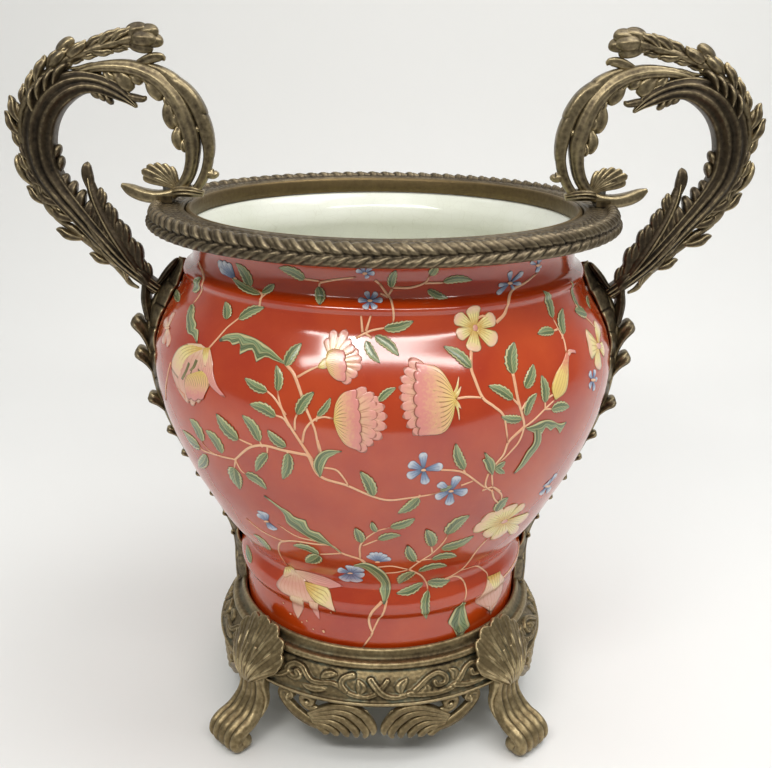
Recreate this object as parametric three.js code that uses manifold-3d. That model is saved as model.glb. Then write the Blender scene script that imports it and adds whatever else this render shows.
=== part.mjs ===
// A round porcelain jardiniere in cast bronze mounts. A glazed bowl stands in a footed base, a braided
// collar lies on its lip, two leafy side straps tie the collar to the base, and a scrolled handle rises
// from each strap and lands on the collar.
// Millimetres, +Z up, handles along X. The origin is on the floor under the bowl's axis.

import * as THREE from "three";
import { mergeVertices } from "three/addons/utils/BufferGeometryUtils.js";
import Module from "manifold-3d";

// Clearances
const SEAT_GAP = 0.3; // between two faces that rest on each other
const HOLE_GAP = 0.3; // all round a screw or a pin in its hole

// Facets of a full turn
const TURN_SIDES = 36;
const SCREW_SIDES = 6;
const PIN_SIDES = 6;

// Bowl, from the foot up
const FOOT_RADIUS = 94.5;
const FOOT_WALL_RISE = 31; // bowl's underside to the raised foot ring
const FOOT_RING_PROUD = 3.8;
const FOOT_RECESS = 8;
const FOOT_RIM_WIDTH = 10;
const WAIST_ABOVE_FOOT_WALL = 20.5;
const WAIST_INSET = 0.5; // from the foot's radius
const BELLY_ABOVE_WAIST = 127.5;
const BELLY_RADIUS = 148.7;
const SHOULDER_ABOVE_BELLY = 53.5;
const SHOULDER_INSET = 21.2; // from the belly's radius
const RIDGE_PROUD = 1;
const RIDGE_HEIGHT = 7.5;
const NECK_INSET = 5.3; // from the shoulder's radius
const LIP_ABOVE_SHOULDER = 32.7;
const LIP_FLARE = 6.8; // from the neck's radius
const LIP_WIDTH = 8.4;
const BOWL_WALL = 7;
const FLOOR_RISE = 14; // of the inside's rounded corner
const BEDDING_THICKNESS = 1.2;

// Collar and the plain band inside it
const COLLAR_OVERHANG = 21; // beyond the lip
const COLLAR_LEDGE = 3.5; // how far it covers the lip
const COLLAR_THICKNESS = 8.6;
const BRAID_WIDTH = 6.5;
const BRAID_DROP = 1.8; // how far the braid hangs below the lip's top
const BAND_PLAY = 1.3;
const BAND_THICKNESS = 1.8;
const BAND_PROUD = 1;

// Base ring
const BASE_UNDERSIDE = 46.4; // floor to the ring's lower edge
const FRIEZE_HEIGHT = 19.6;
const RIM_HEIGHT = 12; // seat to the top of the ring
const RIM_PLAY = 0.7; // between the bowl's foot and the ring
const MOULDING_OUT = 10.2; // beyond the rim's inside
const FRIEZE_OUT = 8.3; // beyond the moulding
const BORDER_PROUD = 1.3; // the plain border below the frieze
const SEAT_WIDTH = 15;
const SEAT_THICKNESS = 4.5;
const FRIEZE_WALL = 8.6;

// Legs
const LEG_AZIMUTH_DEG = 43; // each leg stands this far round from the handles' line
const TOE_RADIUS = 9.2; // of the rolled toe, from its middle to its flat sides
const TOE_BEYOND_FRIEZE = 16.8; // from the frieze to the middle of the toe
const TOE_WIDTH = 22;
const TOE_SIDES = 12;
const LEG_WIDTH = 25;
const LEG_THICKNESS = 11;
const LEAF_WIDTH = 46; // the leaf that laps over the ring
const LEAF_RISE = 5; // above the ring's rim

// Pierced aprons between the legs
const APRON_DROP = 28;
const APRON_THICKNESS = 5;
const APRON_LEAN = 4; // its lower edge stands this much nearer to the axis
const APRON_TAB_WIDTH = 10;
const APRON_TAB_RISE = 8;
const APRON_TAB_THICKNESS = 3.7;
const APRON_TAB_AT = 40; // along the arc of the front panel, from its middle

// Side straps
const STRAP_THICKNESS = 8.6;
const STRAP_WIDTH = 26;
const STRAP_FOOT_THICKNESS = 5;
const STRAP_FOOT_WIDTH = 13;
const STRAP_TIP_REACH = 15; // of the topmost leaf tip that curls off the strap

// Handles
const ARM_ROOT_BELOW_SHOULDER = 14.3;
const SCROLL_RADIUS = 35;
const SCROLL_OUT = 31; // middle of the scroll beyond the collar
const SCROLL_UP = 40.6; // and above the collar's top
const SCROLL_END_DEG = 147;
const ARM_SAG = 8;
const ARM_WIDTH = 26;
const ARM_THICKNESS = 18;
const HOOP_RADIUS = 42.5;
const HOOP_SPREAD = 5; // how much wider the hoop is at its ends
const HOOP_OUT = 8.5;
const HOOP_UP = 39.6;
const HOOP_WIDTH = 18;
const HOOP_THICKNESS = 13;
const STRAND_THICKNESS = 6;
const STRAND_OFFSET = 7; // between the hoop's two strands
const TAIL_LENGTH = 34;
const TAIL_THICKNESS = 10;
const TAIL_WIDTH = 14;
const FAN_REACH = 19; // of the small leaf behind the hoop's foot
const FAN_WIDTH = 8;
const STEM_RADIUS = 3.3;
const BUD_RADIUS = 5.2;
const SPRAY_LEAVES = 0.76; // the share of the arm where the spray parts from it
const SPRAY_LIFT = 15; // of its tip above the hoop
const ARM_LEAF_WIDTH = 18;
const ARM_LEAF_THICKNESS = 9;
const LUG_HEIGHT = 4;
const LUG_LENGTH = 9;
const LUG_WIDTH = 15;

// Screws and pins
const COLLAR_BOLT = { radius: 2.5, headRadius: 4.2, headHeight: 3 };
const BASE_BOLT = { radius: 2, headRadius: 3.2, headHeight: 2.6 };
const ARM_SCREW = { radius: 2, headRadius: 3.6, headHeight: 2.4 };
const LEG_SCREW = { radius: 2.5, headRadius: 4.4, headHeight: 3 };
const APRON_SCREW = { radius: 1.6, headRadius: 3, headHeight: 2.2 };
const PIN_RADIUS = 1.2;
const COLLAR_BOLT_INSET = 11.5; // from the collar's edge
const LEG_SCREW_BITE = 6;
const APRON_SCREW_BITE = 2.6;

// Heights and radii that follow from the sizes above
const seatHeight = BASE_UNDERSIDE + FRIEZE_HEIGHT;
const rimTop = seatHeight + RIM_HEIGHT;
const seatUnder = seatHeight - SEAT_THICKNESS;
const bowlBottom = seatHeight + BEDDING_THICKNESS + 2 * SEAT_GAP;
const footWallTop = bowlBottom + FOOT_WALL_RISE;
const waist = footWallTop + WAIST_ABOVE_FOOT_WALL;
const belly = waist + BELLY_ABOVE_WAIST;
const shoulder = belly + SHOULDER_ABOVE_BELLY;
const ridgeTop = shoulder + RIDGE_HEIGHT;
const lipTop = shoulder + LIP_ABOVE_SHOULDER;
const collarSeat = lipTop + BEDDING_THICKNESS + 2 * SEAT_GAP;
const collarTop = collarSeat + COLLAR_THICKNESS;
const lugTop = collarTop + SEAT_GAP + LUG_HEIGHT;

const footRingRadius = FOOT_RADIUS + FOOT_RING_PROUD;
const waistRadius = FOOT_RADIUS - WAIST_INSET;
const shoulderRadius = BELLY_RADIUS - SHOULDER_INSET;
const neckRadius = shoulderRadius - NECK_INSET;
const lipRadius = neckRadius + LIP_FLARE;
const collarInner = lipRadius - COLLAR_LEDGE;
const collarRadius = lipRadius + COLLAR_OVERHANG;
const bandRadius = collarInner - BAND_PLAY;
const rimInner = FOOT_RADIUS + RIM_PLAY;
const mouldingRadius = rimInner + MOULDING_OUT;
const friezeRadius = mouldingRadius + FRIEZE_OUT;
const wallInner = friezeRadius - FRIEZE_WALL;
const toeOut = friezeRadius + TOE_BEYOND_FRIEZE;
const collarBoltAt = collarRadius - COLLAR_BOLT_INSET;
const facetShare = Math.cos(Math.PI / TURN_SIDES); // a turned ring's flats against its corners

const wasm = await Module();
wasm.setup();

const porcelain = new THREE.MeshStandardMaterial({ color: 0xb5371f, roughness: 0.12, metalness: 0 });
const bronze = new THREE.MeshStandardMaterial({ color: 0x6d5e49, roughness: 0.45, metalness: 0.85 });
const brass = new THREE.MeshStandardMaterial({ color: 0x8f7440, roughness: 0.4, metalness: 0.9 });
const steel = new THREE.MeshStandardMaterial({ color: 0x84837e, roughness: 0.4, metalness: 0.9 });
const felt = new THREE.MeshStandardMaterial({ color: 0x3a4a3c, roughness: 0.95, metalness: 0 });

// Solids from three.js geometry and back

function solidOf(geometry) {
  const bare = geometry.clone();
  bare.deleteAttribute("normal");
  bare.deleteAttribute("uv");
  const merged = mergeVertices(bare, 1e-4);
  return new wasm.Manifold(
    new wasm.Mesh({
      numProp: 3,
      vertProperties: merged.attributes.position.array,
      triVerts: new Uint32Array(merged.index.array),
    }),
  );
}

function geometryOf(solid) {
  const mesh = solid.getMesh();
  const positions = new Float32Array(mesh.numVert * 3);
  for (let i = 0; i < mesh.numVert; i++) {
    positions.set(mesh.vertProperties.subarray(i * mesh.numProp, i * mesh.numProp + 3), i * 3);
  }
  const geometry = new THREE.BufferGeometry();
  geometry.setAttribute("position", new THREE.BufferAttribute(positions, 3));
  geometry.setIndex(new THREE.BufferAttribute(mesh.triVerts.slice(), 1));
  geometry.computeVertexNormals();
  return geometry;
}

/** All the solids joined into one. */
const joined = (...solids) => solids.reduce((whole, next) => whole.add(next));

/** The first solid with all the others cut out of it. */
const cut = (whole, ...tools) => tools.reduce((left, tool) => left.subtract(tool), whole);

// Turned shapes

/** Turns a closed profile of [radius, height] points about Z. */
function turned(profile, sides = TURN_SIDES) {
  const points = profile.map(([r, z]) => new THREE.Vector2(r, z));
  const clockwise = THREE.ShapeUtils.area(points) < 0;
  if (clockwise) points.reverse();
  const onAxis = points.some((p) => p.x === 0);
  if (!onAxis) points.push(points[0].clone());
  return solidOf(new THREE.LatheGeometry(points, sides).rotateX(Math.PI / 2));
}

/** A profile moved outwards by a clearance, each corner along the mean of its two normals. */
function grownProfile(profile, by) {
  const points = profile.map(([r, z]) => new THREE.Vector2(r, z));
  const sign = THREE.ShapeUtils.area(points) < 0 ? -1 : 1;
  return points.map((p, i) => {
    const before = points[(i + points.length - 1) % points.length];
    const after = points[(i + 1) % points.length];
    const normal = new THREE.Vector2();
    for (const edge of [p.clone().sub(before), after.clone().sub(p)]) {
      normal.add(new THREE.Vector2(edge.y, -edge.x).normalize());
    }
    normal.normalize().multiplyScalar(by * sign);
    return [p.x + normal.x, p.y + normal.y];
  });
}

/** Points of a cubic curve between two [radius, height] ends, the ends included. */
function curvePoints(from, fromHandle, toHandle, to, count) {
  const ends = [from, fromHandle, toHandle, to].map(([r, z]) => new THREE.Vector2(r, z));
  return new THREE.CubicBezierCurve(...ends).getPoints(count).map((p) => [p.x, p.y]);
}

// Swept shapes. A path is a list of [out, up] points in the handle's plane, or in a leg's.

const pathOf = (points) =>
  new THREE.CatmullRomCurve3(
    points.map(([out, up, across = 0]) => new THREE.Vector3(out, across, up)),
    false,
    "centripetal",
  );

/** The value at a share of the way along [share, value] stations. */
function along(stations) {
  return (share) => {
    const after = stations.findIndex(([at]) => at >= share);
    if (after === -1) return stations[stations.length - 1][1];
    if (after === 0) return stations[0][1];
    const [[fromAt, fromValue], [toAt, toValue]] = [stations[after - 1], stations[after]];
    return THREE.MathUtils.mapLinear(share, fromAt, toAt, fromValue, toValue);
  };
}

/** A path's point at a share of its length, with its direction and its outward side. */
function stationOn(path, share) {
  const point = path.getPointAt(share);
  const direction = path.getTangentAt(share);
  const outward = new THREE.Vector3(0, 1, 0).cross(direction).normalize();
  return { point, direction, outward };
}

/** Sweeps an oval section along a path: half its thickness in the plane, half its width across it. */
function swept(path, { steps, sides, halfThickness, halfWidth, grow = 0 }) {
  const positions = [];
  const faces = [];
  for (let i = 0; i <= steps; i++) {
    const share = i / steps;
    const { point, outward } = stationOn(path, share);
    for (let k = 0; k < sides; k++) {
      const angle = (2 * Math.PI * k) / sides;
      const corner = outward.clone().multiplyScalar((halfThickness(share) + grow) * Math.cos(angle));
      corner.y += (halfWidth(share) + grow) * Math.sin(angle);
      positions.push(...corner.add(point).toArray());
    }
  }
  const middle = (share) => positions.push(...path.getPointAt(share).toArray()) / 3 - 1;
  const [firstMiddle, lastMiddle] = [middle(0), middle(1)];
  for (let k = 0; k < sides; k++) {
    const next = (k + 1) % sides;
    for (let i = 0; i < steps; i++) {
      const [low, high] = [i * sides, (i + 1) * sides];
      faces.push(low + k, low + next, high + k, low + next, high + next, high + k);
    }
    faces.push(firstMiddle, next, k, lastMiddle, steps * sides + k, steps * sides + next);
  }
  const geometry = new THREE.BufferGeometry();
  geometry.setAttribute("position", new THREE.Float32BufferAttribute(positions, 3));
  geometry.setIndex(faces);
  return solidOf(geometry);
}

/** A block from its [low, high] along X, Y and Z. */
function block(x, y, z) {
  const size = [x, y, z].map(([low, high]) => high - low);
  const middle = [x, y, z].map(([low, high]) => (high + low) / 2);
  return solidOf(new THREE.BoxGeometry(...size).translate(...middle));
}

/** An oval lump, such as a bud. */
function lump(at, radii) {
  return solidOf(new THREE.SphereGeometry(1, 6, 3).scale(...radii).translate(...at));
}

/** A pointed tip from a point along a direction. */
function tip(at, direction, length, radius) {
  const cone = new THREE.ConeGeometry(radius, length, 5).translate(0, length / 2, 0);
  const turn = new THREE.Quaternion().setFromUnitVectors(
    new THREE.Vector3(0, 1, 0),
    direction.clone().normalize(),
  );
  return solidOf(cone.applyQuaternion(turn).translate(...at.toArray()));
}

// Screws, pins and their holes. Each points along a direction, with the head's seat at its start.

function rodAlong(start, direction, profile, sides) {
  const turn = new THREE.Quaternion().setFromUnitVectors(
    new THREE.Vector3(0, 1, 0),
    direction.clone().normalize(),
  );
  const points = profile.map(([r, at]) => new THREE.Vector2(r, at));
  const lathe = new THREE.LatheGeometry(points, sides);
  return solidOf(lathe.applyQuaternion(turn).translate(...start.toArray()));
}

function screw(start, direction, { radius, headRadius, headHeight }, length) {
  const profile = [
    [0, -headHeight],
    [headRadius, -headHeight],
    [headRadius, 0],
    [radius, 0],
    [radius, length],
    [0, length],
  ];
  return rodAlong(start, direction, profile, SCREW_SIDES);
}

function holeFor(start, direction, radius, length, before = 0) {
  const profile = [
    [0, -before],
    [radius + HOLE_GAP, -before],
    [radius + HOLE_GAP, length + HOLE_GAP],
    [0, length + HOLE_GAP],
  ];
  return rodAlong(start, direction, profile, radius > PIN_RADIUS ? SCREW_SIDES : PIN_SIDES);
}

function pin(start, direction, length) {
  const profile = [
    [0, 0],
    [PIN_RADIUS, 0],
    [PIN_RADIUS, length],
    [0, length],
  ];
  return rodAlong(start, direction, profile, PIN_SIDES);
}

// The bowl

/** The outside from the foot to the lip, less a wall for the inside. */
function bowlSide(wall, lowerSteps, upperSteps) {
  const bellyReach = BELLY_RADIUS - waistRadius;
  const bellyClimb = belly - waist;
  const shoulderDrop = BELLY_RADIUS - shoulderRadius;
  const shoulderClimb = shoulder - belly;
  return [
    ...curvePoints(
      [waistRadius - wall, waist],
      [waistRadius - wall + bellyReach * 0.33, waist + bellyClimb * 0.22],
      [BELLY_RADIUS - wall, belly - bellyClimb * 0.33],
      [BELLY_RADIUS - wall, belly],
      lowerSteps,
    ),
    ...curvePoints(
      [BELLY_RADIUS - wall, belly],
      [BELLY_RADIUS - wall, belly + shoulderClimb * 0.42],
      [shoulderRadius - wall + shoulderDrop * 0.36, shoulder - shoulderClimb * 0.26],
      [shoulderRadius - wall, shoulder],
      upperSteps,
    ).slice(1),
  ];
}

const bowlOutside = [
  [FOOT_RADIUS - 1, bowlBottom],
  [FOOT_RADIUS, bowlBottom + 1.5],
  [FOOT_RADIUS, footWallTop],
  [footRingRadius, footWallTop + 5],
  [footRingRadius, footWallTop + 11],
  [waistRadius + 1.5, waist - 3],
  ...bowlSide(0, 5, 4),
  [shoulderRadius + RIDGE_PROUD, shoulder + 2.5],
  [shoulderRadius + RIDGE_PROUD, ridgeTop - 1.5],
  [neckRadius, ridgeTop + 4],
  [lipRadius - 3.5, lipTop - 7],
  [lipRadius, lipTop - 2],
  [lipRadius - 1, lipTop],
];

const floorTop = bowlBottom + FOOT_RECESS + BOWL_WALL + 1;
const innerNeck = neckRadius - BOWL_WALL;
const bowlInside = [
  [lipRadius - LIP_WIDTH, lipTop],
  [innerNeck + 2, lipTop - 8],
  [innerNeck, ridgeTop],
  ...bowlSide(BOWL_WALL, 4, 3).reverse(),
  [waistRadius - BOWL_WALL, floorTop + FLOOR_RISE],
  [FOOT_RADIUS - BOWL_WALL - FLOOR_RISE * 0.86, floorTop],
  [0, floorTop],
];

/** The bowl's outer radius at a height. */
function bowlRadius(height) {
  const above = bowlOutside.findIndex(([, z]) => z >= height);
  const [[lowR, lowZ], [highR, highZ]] = [bowlOutside[above - 1], bowlOutside[above]];
  return THREE.MathUtils.mapLinear(height, lowZ, highZ, lowR, highR);
}

function bowl() {
  const footInner = FOOT_RADIUS - FOOT_RIM_WIDTH;
  const underside = [
    [0, bowlBottom + FOOT_RECESS],
    [footInner - 3, bowlBottom + FOOT_RECESS],
    [footInner, bowlBottom],
  ];
  return turned([...underside, ...bowlOutside, ...bowlInside]);
}

// Rings above and below the bowl

/** A flat ring of bedding between the bowl and a mount. */
function bedding(inner, outer, low) {
  const high = low + BEDDING_THICKNESS;
  return turned([
    [inner, low],
    [outer, low],
    [outer, high],
    [inner, high],
  ]);
}

function collar() {
  const braidInner = collarRadius - BRAID_WIDTH;
  const braidTop = collarTop + 0.6;
  const braidMiddle = (collarTop + lipTop) / 2;
  const ring = turned([
    [collarInner, collarSeat],
    [lipRadius + 2 * SEAT_GAP, collarSeat],
    [lipRadius + 2 * SEAT_GAP, lipTop],
    [braidInner + 2, lipTop],
    [collarRadius - 1.2, lipTop + BRAID_DROP],
    [collarRadius, braidMiddle],
    [collarRadius - 1.2, braidTop - 2],
    [collarRadius - BRAID_WIDTH / 2, braidTop],
    [braidInner, collarTop],
    [collarInner, collarTop],
  ]);
  const up = new THREE.Vector3(0, 0, 1);
  const holes = [-collarBoltAt, collarBoltAt].map((x) =>
    holeFor(new THREE.Vector3(x, 0, lipTop), up, COLLAR_BOLT.radius, collarTop - lipTop + 1, 1),
  );
  return cut(ring, ...holes);
}

function mouthBand() {
  const low = lipTop + SEAT_GAP;
  const high = collarTop + BAND_PROUD;
  return turned([
    [bandRadius - BAND_THICKNESS, low],
    [bandRadius, low],
    [bandRadius, high],
    [bandRadius - BAND_THICKNESS, high],
  ]);
}

const baseProfile = [
  [rimInner - SEAT_WIDTH, seatHeight],
  [rimInner, seatHeight],
  [rimInner, rimTop - 1],
  [rimInner + 1.6, rimTop],
  [rimInner + 3.2, rimTop - 1],
  [rimInner + 4.6, rimTop - 4.4],
  [mouldingRadius - 0.6, rimTop - 6],
  [mouldingRadius, rimTop - 8],
  [mouldingRadius - 1.4, rimTop - 11.6],
  [friezeRadius - 4.7, seatHeight - 4.2],
  [friezeRadius - 1.5, seatHeight - 9.6],
  [friezeRadius, BASE_UNDERSIDE + 4.2],
  [friezeRadius + BORDER_PROUD, BASE_UNDERSIDE + 3],
  [friezeRadius, BASE_UNDERSIDE],
  [wallInner, BASE_UNDERSIDE],
  [wallInner, seatUnder],
  [rimInner - SEAT_WIDTH, seatUnder],
];

// Where the screws stand in the base, all measured from the sizes above
const legScrewHeight = (BASE_UNDERSIDE + seatUnder) / 2 + 1;
const legScrewSeat = wallInner * facetShare - SEAT_GAP;
const apronScrewHeight = BASE_UNDERSIDE + 4;
const apronTabOuter = wallInner * facetShare - 1.4 * SEAT_GAP;
const apronScrewSeat = apronTabOuter - APRON_TAB_THICKNESS - SEAT_GAP;
const apronScrewLength = wallInner - apronScrewSeat + APRON_SCREW_BITE;
const baseBoltAt = rimInner + 5.4;
const baseBoltStart = seatUnder - SEAT_GAP;
const baseBoltLength = rimTop + 4 - baseBoltStart;

const legAzimuth = THREE.MathUtils.degToRad(LEG_AZIMUTH_DEG);
const legHalfAngle = (LEG_WIDTH / 2 + 1.4) / friezeRadius;
const sideApron = { at: [0, Math.PI], halfAngle: legAzimuth - legHalfAngle };
const frontApron = { at: [-Math.PI / 2, Math.PI / 2], halfAngle: Math.PI / 2 - legAzimuth - legHalfAngle };
const legAngles = [-legAzimuth, legAzimuth, Math.PI - legAzimuth, Math.PI + legAzimuth];

/** A point and an outward direction at an angle round the axis. */
function radial(angle, radius, height) {
  const direction = new THREE.Vector3(Math.cos(angle), Math.sin(angle), 0);
  const start = direction.clone().multiplyScalar(radius).setZ(height);
  return { start, direction };
}

function baseRing() {
  const up = new THREE.Vector3(0, 0, 1);
  const legHoles = legAngles.map((angle) => {
    const { start, direction } = radial(angle, legScrewSeat, legScrewHeight);
    return holeFor(start, direction, LEG_SCREW.radius, FRIEZE_WALL + 4, 1);
  });
  const apronHoles = apronScrewAngles.map((angle) => {
    const { start, direction } = radial(angle, apronScrewSeat, apronScrewHeight);
    return holeFor(start, direction, APRON_SCREW.radius, apronScrewLength);
  });
  const boltHoles = [-baseBoltAt, baseBoltAt].map((x) =>
    holeFor(new THREE.Vector3(x, 0, baseBoltStart), up, BASE_BOLT.radius, RIM_HEIGHT + 8, 1),
  );
  return cut(turned(baseProfile), ...legHoles, ...apronHoles, ...boltHoles);
}

// Legs, drawn along +X and then turned into place

function leg() {
  const leafTop = rimTop + LEAF_RISE;
  const shankAt = friezeRadius + 0.5;
  const path = pathOf([
    [mouldingRadius + 0.5, leafTop - 1],
    [mouldingRadius + 4, leafTop - 6],
    [friezeRadius - 1.5, leafTop - 13],
    [shankAt, seatHeight - 4],
    [shankAt, BASE_UNDERSIDE + 8],
    [shankAt, BASE_UNDERSIDE],
    [shankAt + 0.5, TOE_RADIUS * 2 + 17],
    [shankAt + 2.5, TOE_RADIUS * 2 + 7],
    [toeOut - 8, TOE_RADIUS * 2],
    [toeOut, TOE_RADIUS],
  ]);
  const half = LEG_THICKNESS / 2;
  const shank = swept(path, {
    steps: 16,
    sides: 8,
    halfThickness: along([
      [0, 1],
      [0.14, half * 0.7],
      [0.3, half],
      [0.7, half],
      [0.85, half * 0.9],
      [1, TOE_RADIUS * 0.7],
    ]),
    halfWidth: along([
      [0, 4],
      [0.08, LEAF_WIDTH * 0.32],
      [0.2, LEAF_WIDTH / 2],
      [0.32, LEAF_WIDTH * 0.46],
      [0.44, LEG_WIDTH * 0.55],
      [0.6, LEG_WIDTH * 0.46],
      [0.84, LEG_WIDTH / 2],
      [1, TOE_WIDTH / 2 - 1],
    ]),
  });
  const toeCorner = TOE_RADIUS / Math.cos(Math.PI / TOE_SIDES);
  const toe = new THREE.CylinderGeometry(toeCorner, toeCorner, TOE_WIDTH, TOE_SIDES)
    .rotateY(Math.PI / TOE_SIDES)
    .translate(toeOut, 0, TOE_RADIUS);
  const { start, direction } = radial(0, legScrewSeat, legScrewHeight);
  const hole = holeFor(start, direction, LEG_SCREW.radius, FRIEZE_WALL + LEG_SCREW_BITE);
  const ring = turned(grownProfile(baseProfile, SEAT_GAP)).rotate([0, 0, -LEG_AZIMUTH_DEG]);
  return cut(joined(shank, solidOf(toe)), ring, hole);
}

// Aprons: one outline, bent round the base and hung under the ring

/** Half of the front panel as [along the arc, below the ring], from its middle out and back. */
const APRON_HALF = [
  [0, 11],
  [7, 5],
  [13, 0],
  [23, 0],
  [26.5, 4.5],
  [30, 0],
  [50, 0],
  [52.5, 7],
  [50, 12],
  [55, 15],
  [61, 13.5],
  [64, 8],
  [62, 3],
  [66, 0],
  [82, 0],
  [87, 4],
  [88, 9],
  [84, 13],
  [77, 15],
  [71, 20],
  [63, 25],
  [53, 28],
  [44, 26],
  [34, 28],
  [26, 26.5],
  [18, 27.8],
  [8, 24.5],
  [0, 20.5],
];
const apronHalfLength = Math.max(...APRON_HALF.map(([s]) => s));
const apronDepth = Math.max(...APRON_HALF.map(([, drop]) => drop));
const tabAngleOf = ({ halfAngle }) => (APRON_TAB_AT / apronHalfLength) * halfAngle;
const apronScrewAngles = [sideApron, frontApron].flatMap((panel) =>
  panel.at.flatMap((angle) => [angle - tabAngleOf(panel), angle + tabAngleOf(panel)]),
);

/** A panel drawn round +X: its outline seen from outside, cut out of a leaning ring. */
function apron(kind) {
  const top = BASE_UNDERSIDE - SEAT_GAP;
  const outer = friezeRadius - 0.7;
  const shell = turned([
    [outer - APRON_LEAN - APRON_THICKNESS, top - APRON_DROP],
    [outer - APRON_LEAN, top - APRON_DROP],
    [outer, top],
    [outer - APRON_THICKNESS, top],
  ]);
  const placed = ([s, drop]) => {
    const angle = (s / apronHalfLength) * kind.halfAngle;
    return new THREE.Vector2(outer * Math.sin(angle), top - (drop / apronDepth) * APRON_DROP);
  };
  const mirrored = APRON_HALF.slice(1, -1).reverse().map(([s, drop]) => [-s, drop]);
  const outline = new THREE.Shape([...APRON_HALF, ...mirrored].map(placed));
  const pierced = new THREE.ExtrudeGeometry(outline, { depth: outer, bevelEnabled: false });
  pierced.rotateX(Math.PI / 2).rotateZ(Math.PI / 2);
  const tabAngle = tabAngleOf(kind);
  const tabs = [-tabAngle, tabAngle].map((offset) => {
    const low = top - APRON_TAB_RISE;
    const halfTab = APRON_TAB_WIDTH / 2;
    const inner = apronTabOuter - APRON_TAB_THICKNESS;
    const arm = block([inner, outer - APRON_THICKNESS + 1], [-halfTab, halfTab], [low, top]);
    const ear = block([inner, apronTabOuter], [-halfTab, halfTab], [low, top + APRON_TAB_RISE]);
    return joined(arm, ear).rotate([0, 0, THREE.MathUtils.radToDeg(offset)]);
  });
  const holes = [-tabAngle, tabAngle].map((offset) => {
    const { start, direction } = radial(offset, apronScrewSeat, apronScrewHeight);
    return holeFor(start, direction, APRON_SCREW.radius, apronScrewLength, 1);
  });
  return cut(joined(shell.intersect(solidOf(pierced)), ...tabs), ...holes);
}

// Side straps, drawn on the +X side

const strapHalf = STRAP_THICKNESS / 2;
const strapFootHalf = STRAP_FOOT_THICKNESS / 2;
const armRootHeight = shoulder - ARM_ROOT_BELOW_SHOULDER;

/** The bowl's widest radius close to a height, so that the strap bridges its hollows. */
function bridgedRadius(height) {
  const nearby = [-8, -4, 0, 4, 8].map((step) => bowlRadius(Math.min(height + step, lipTop - 1)));
  return Math.max(...nearby);
}

const strapTopHeight = shoulder + 3.5;
const strapCourse = [
  [0, 0.45],
  [0.06, 0.9],
  [0.12, 1.5],
  [0.2, 1.15],
  [0.32, 1.05],
  [0.46, 1],
  [0.6, 0.95],
  [0.75, 0.85],
  [0.9, 0.8],
].map(([share, lift]) => {
  const height = THREE.MathUtils.lerp(strapTopHeight, waist + 4, share);
  return [bridgedRadius(height) + SEAT_GAP + strapHalf * lift, height];
});
const strapAnkle = [
  [footRingRadius + SEAT_GAP + strapFootHalf + 0.6, footWallTop + 9],
  [footRingRadius + SEAT_GAP + strapFootHalf + 0.6, footWallTop - 4],
  [baseBoltAt + 0.8, rimTop + 3],
];
const strapPath = pathOf([...strapCourse, ...strapAnkle]);

const strapSection = {
  steps: 24,
  sides: 8,
  halfThickness: along([
    [0, 0.8],
    [0.06, strapFootHalf],
    [0.14, strapHalf],
    [0.5, strapHalf - 0.4],
    [0.75, strapFootHalf + 0.3],
    [1, strapFootHalf],
  ]),
  halfWidth: (share) => {
    const plain = along([
      [0, 2],
      [0.08, STRAP_WIDTH * 0.42],
      [0.22, STRAP_WIDTH / 2],
      [0.5, STRAP_WIDTH / 2 - 1],
      [0.8, STRAP_FOOT_WIDTH / 2 + 1],
      [1, STRAP_FOOT_WIDTH / 2],
    ])(share);
    return plain * (1 - 0.12 * Math.abs(Math.cos(share * 16 * Math.PI)));
  },
};

/** The station at the arm's root: the strap's share at that height, found by halving. */
function shareAtHeight(path, height) {
  let [low, high] = [0, 1];
  for (let i = 0; i < 24; i++) {
    const middle = (low + high) / 2;
    if (path.getPointAt(middle).z > height) low = middle;
    else high = middle;
  }
  return (low + high) / 2;
}

// A downward path has its outward side reversed, so the strap's outside is the opposite of its station's.
const rootStation = stationOn(strapPath, shareAtHeight(strapPath, armRootHeight));
const rootOut = rootStation.outward.clone().negate();
const armScrewStart = rootStation.point.clone().addScaledVector(rootOut, -strapHalf - SEAT_GAP);
const armScrewLength = STRAP_THICKNESS + SEAT_GAP + 5;

/** Where each leaf tip curls off the strap, as a share of its length and of the topmost tip's reach. */
const STRAP_TIPS = [
  [0.215, 1],
  [0.3, 0.62],
  [0.42, 0.55],
  [0.565, 0.4],
  [0.705, 0.3],
  [0.82, 0.25],
];

function strapTips() {
  return STRAP_TIPS.map(([share, size]) => {
    const { point, direction, outward } = stationOn(strapPath, share);
    const out = outward.clone().negate();
    const base = point.clone().addScaledVector(out, strapSection.halfThickness(share) - 3);
    base.addScaledVector(direction, STRAP_TIP_REACH * 0.3 * size);
    const lean = out.clone().addScaledVector(direction, -0.35);
    return tip(base, lean, 3 + STRAP_TIP_REACH * size, 3 + 3.4 * size);
  });
}

function strap() {
  const band = swept(strapPath, strapSection);
  const halfFoot = STRAP_FOOT_WIDTH / 2;
  const foot = block([rimInner + 1, baseBoltAt + 4.6], [-halfFoot, halfFoot], [rimTop - 6, rimTop + 7]);
  const ring = turned(grownProfile(baseProfile, SEAT_GAP));
  const vessel = turned([[0, bowlBottom], ...grownProfile(bowlOutside, SEAT_GAP), [0, lipTop]]);
  const up = new THREE.Vector3(0, 0, 1);
  const baseBolt = new THREE.Vector3(baseBoltAt, 0, baseBoltStart);
  return cut(
    joined(band, foot, ...strapTips()),
    ring,
    vessel,
    holeFor(baseBolt, up, BASE_BOLT.radius, baseBoltLength),
    holeFor(armScrewStart, rootOut, ARM_SCREW.radius, armScrewLength, 1),
  );
}

// Handles, drawn on the +X side

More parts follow.
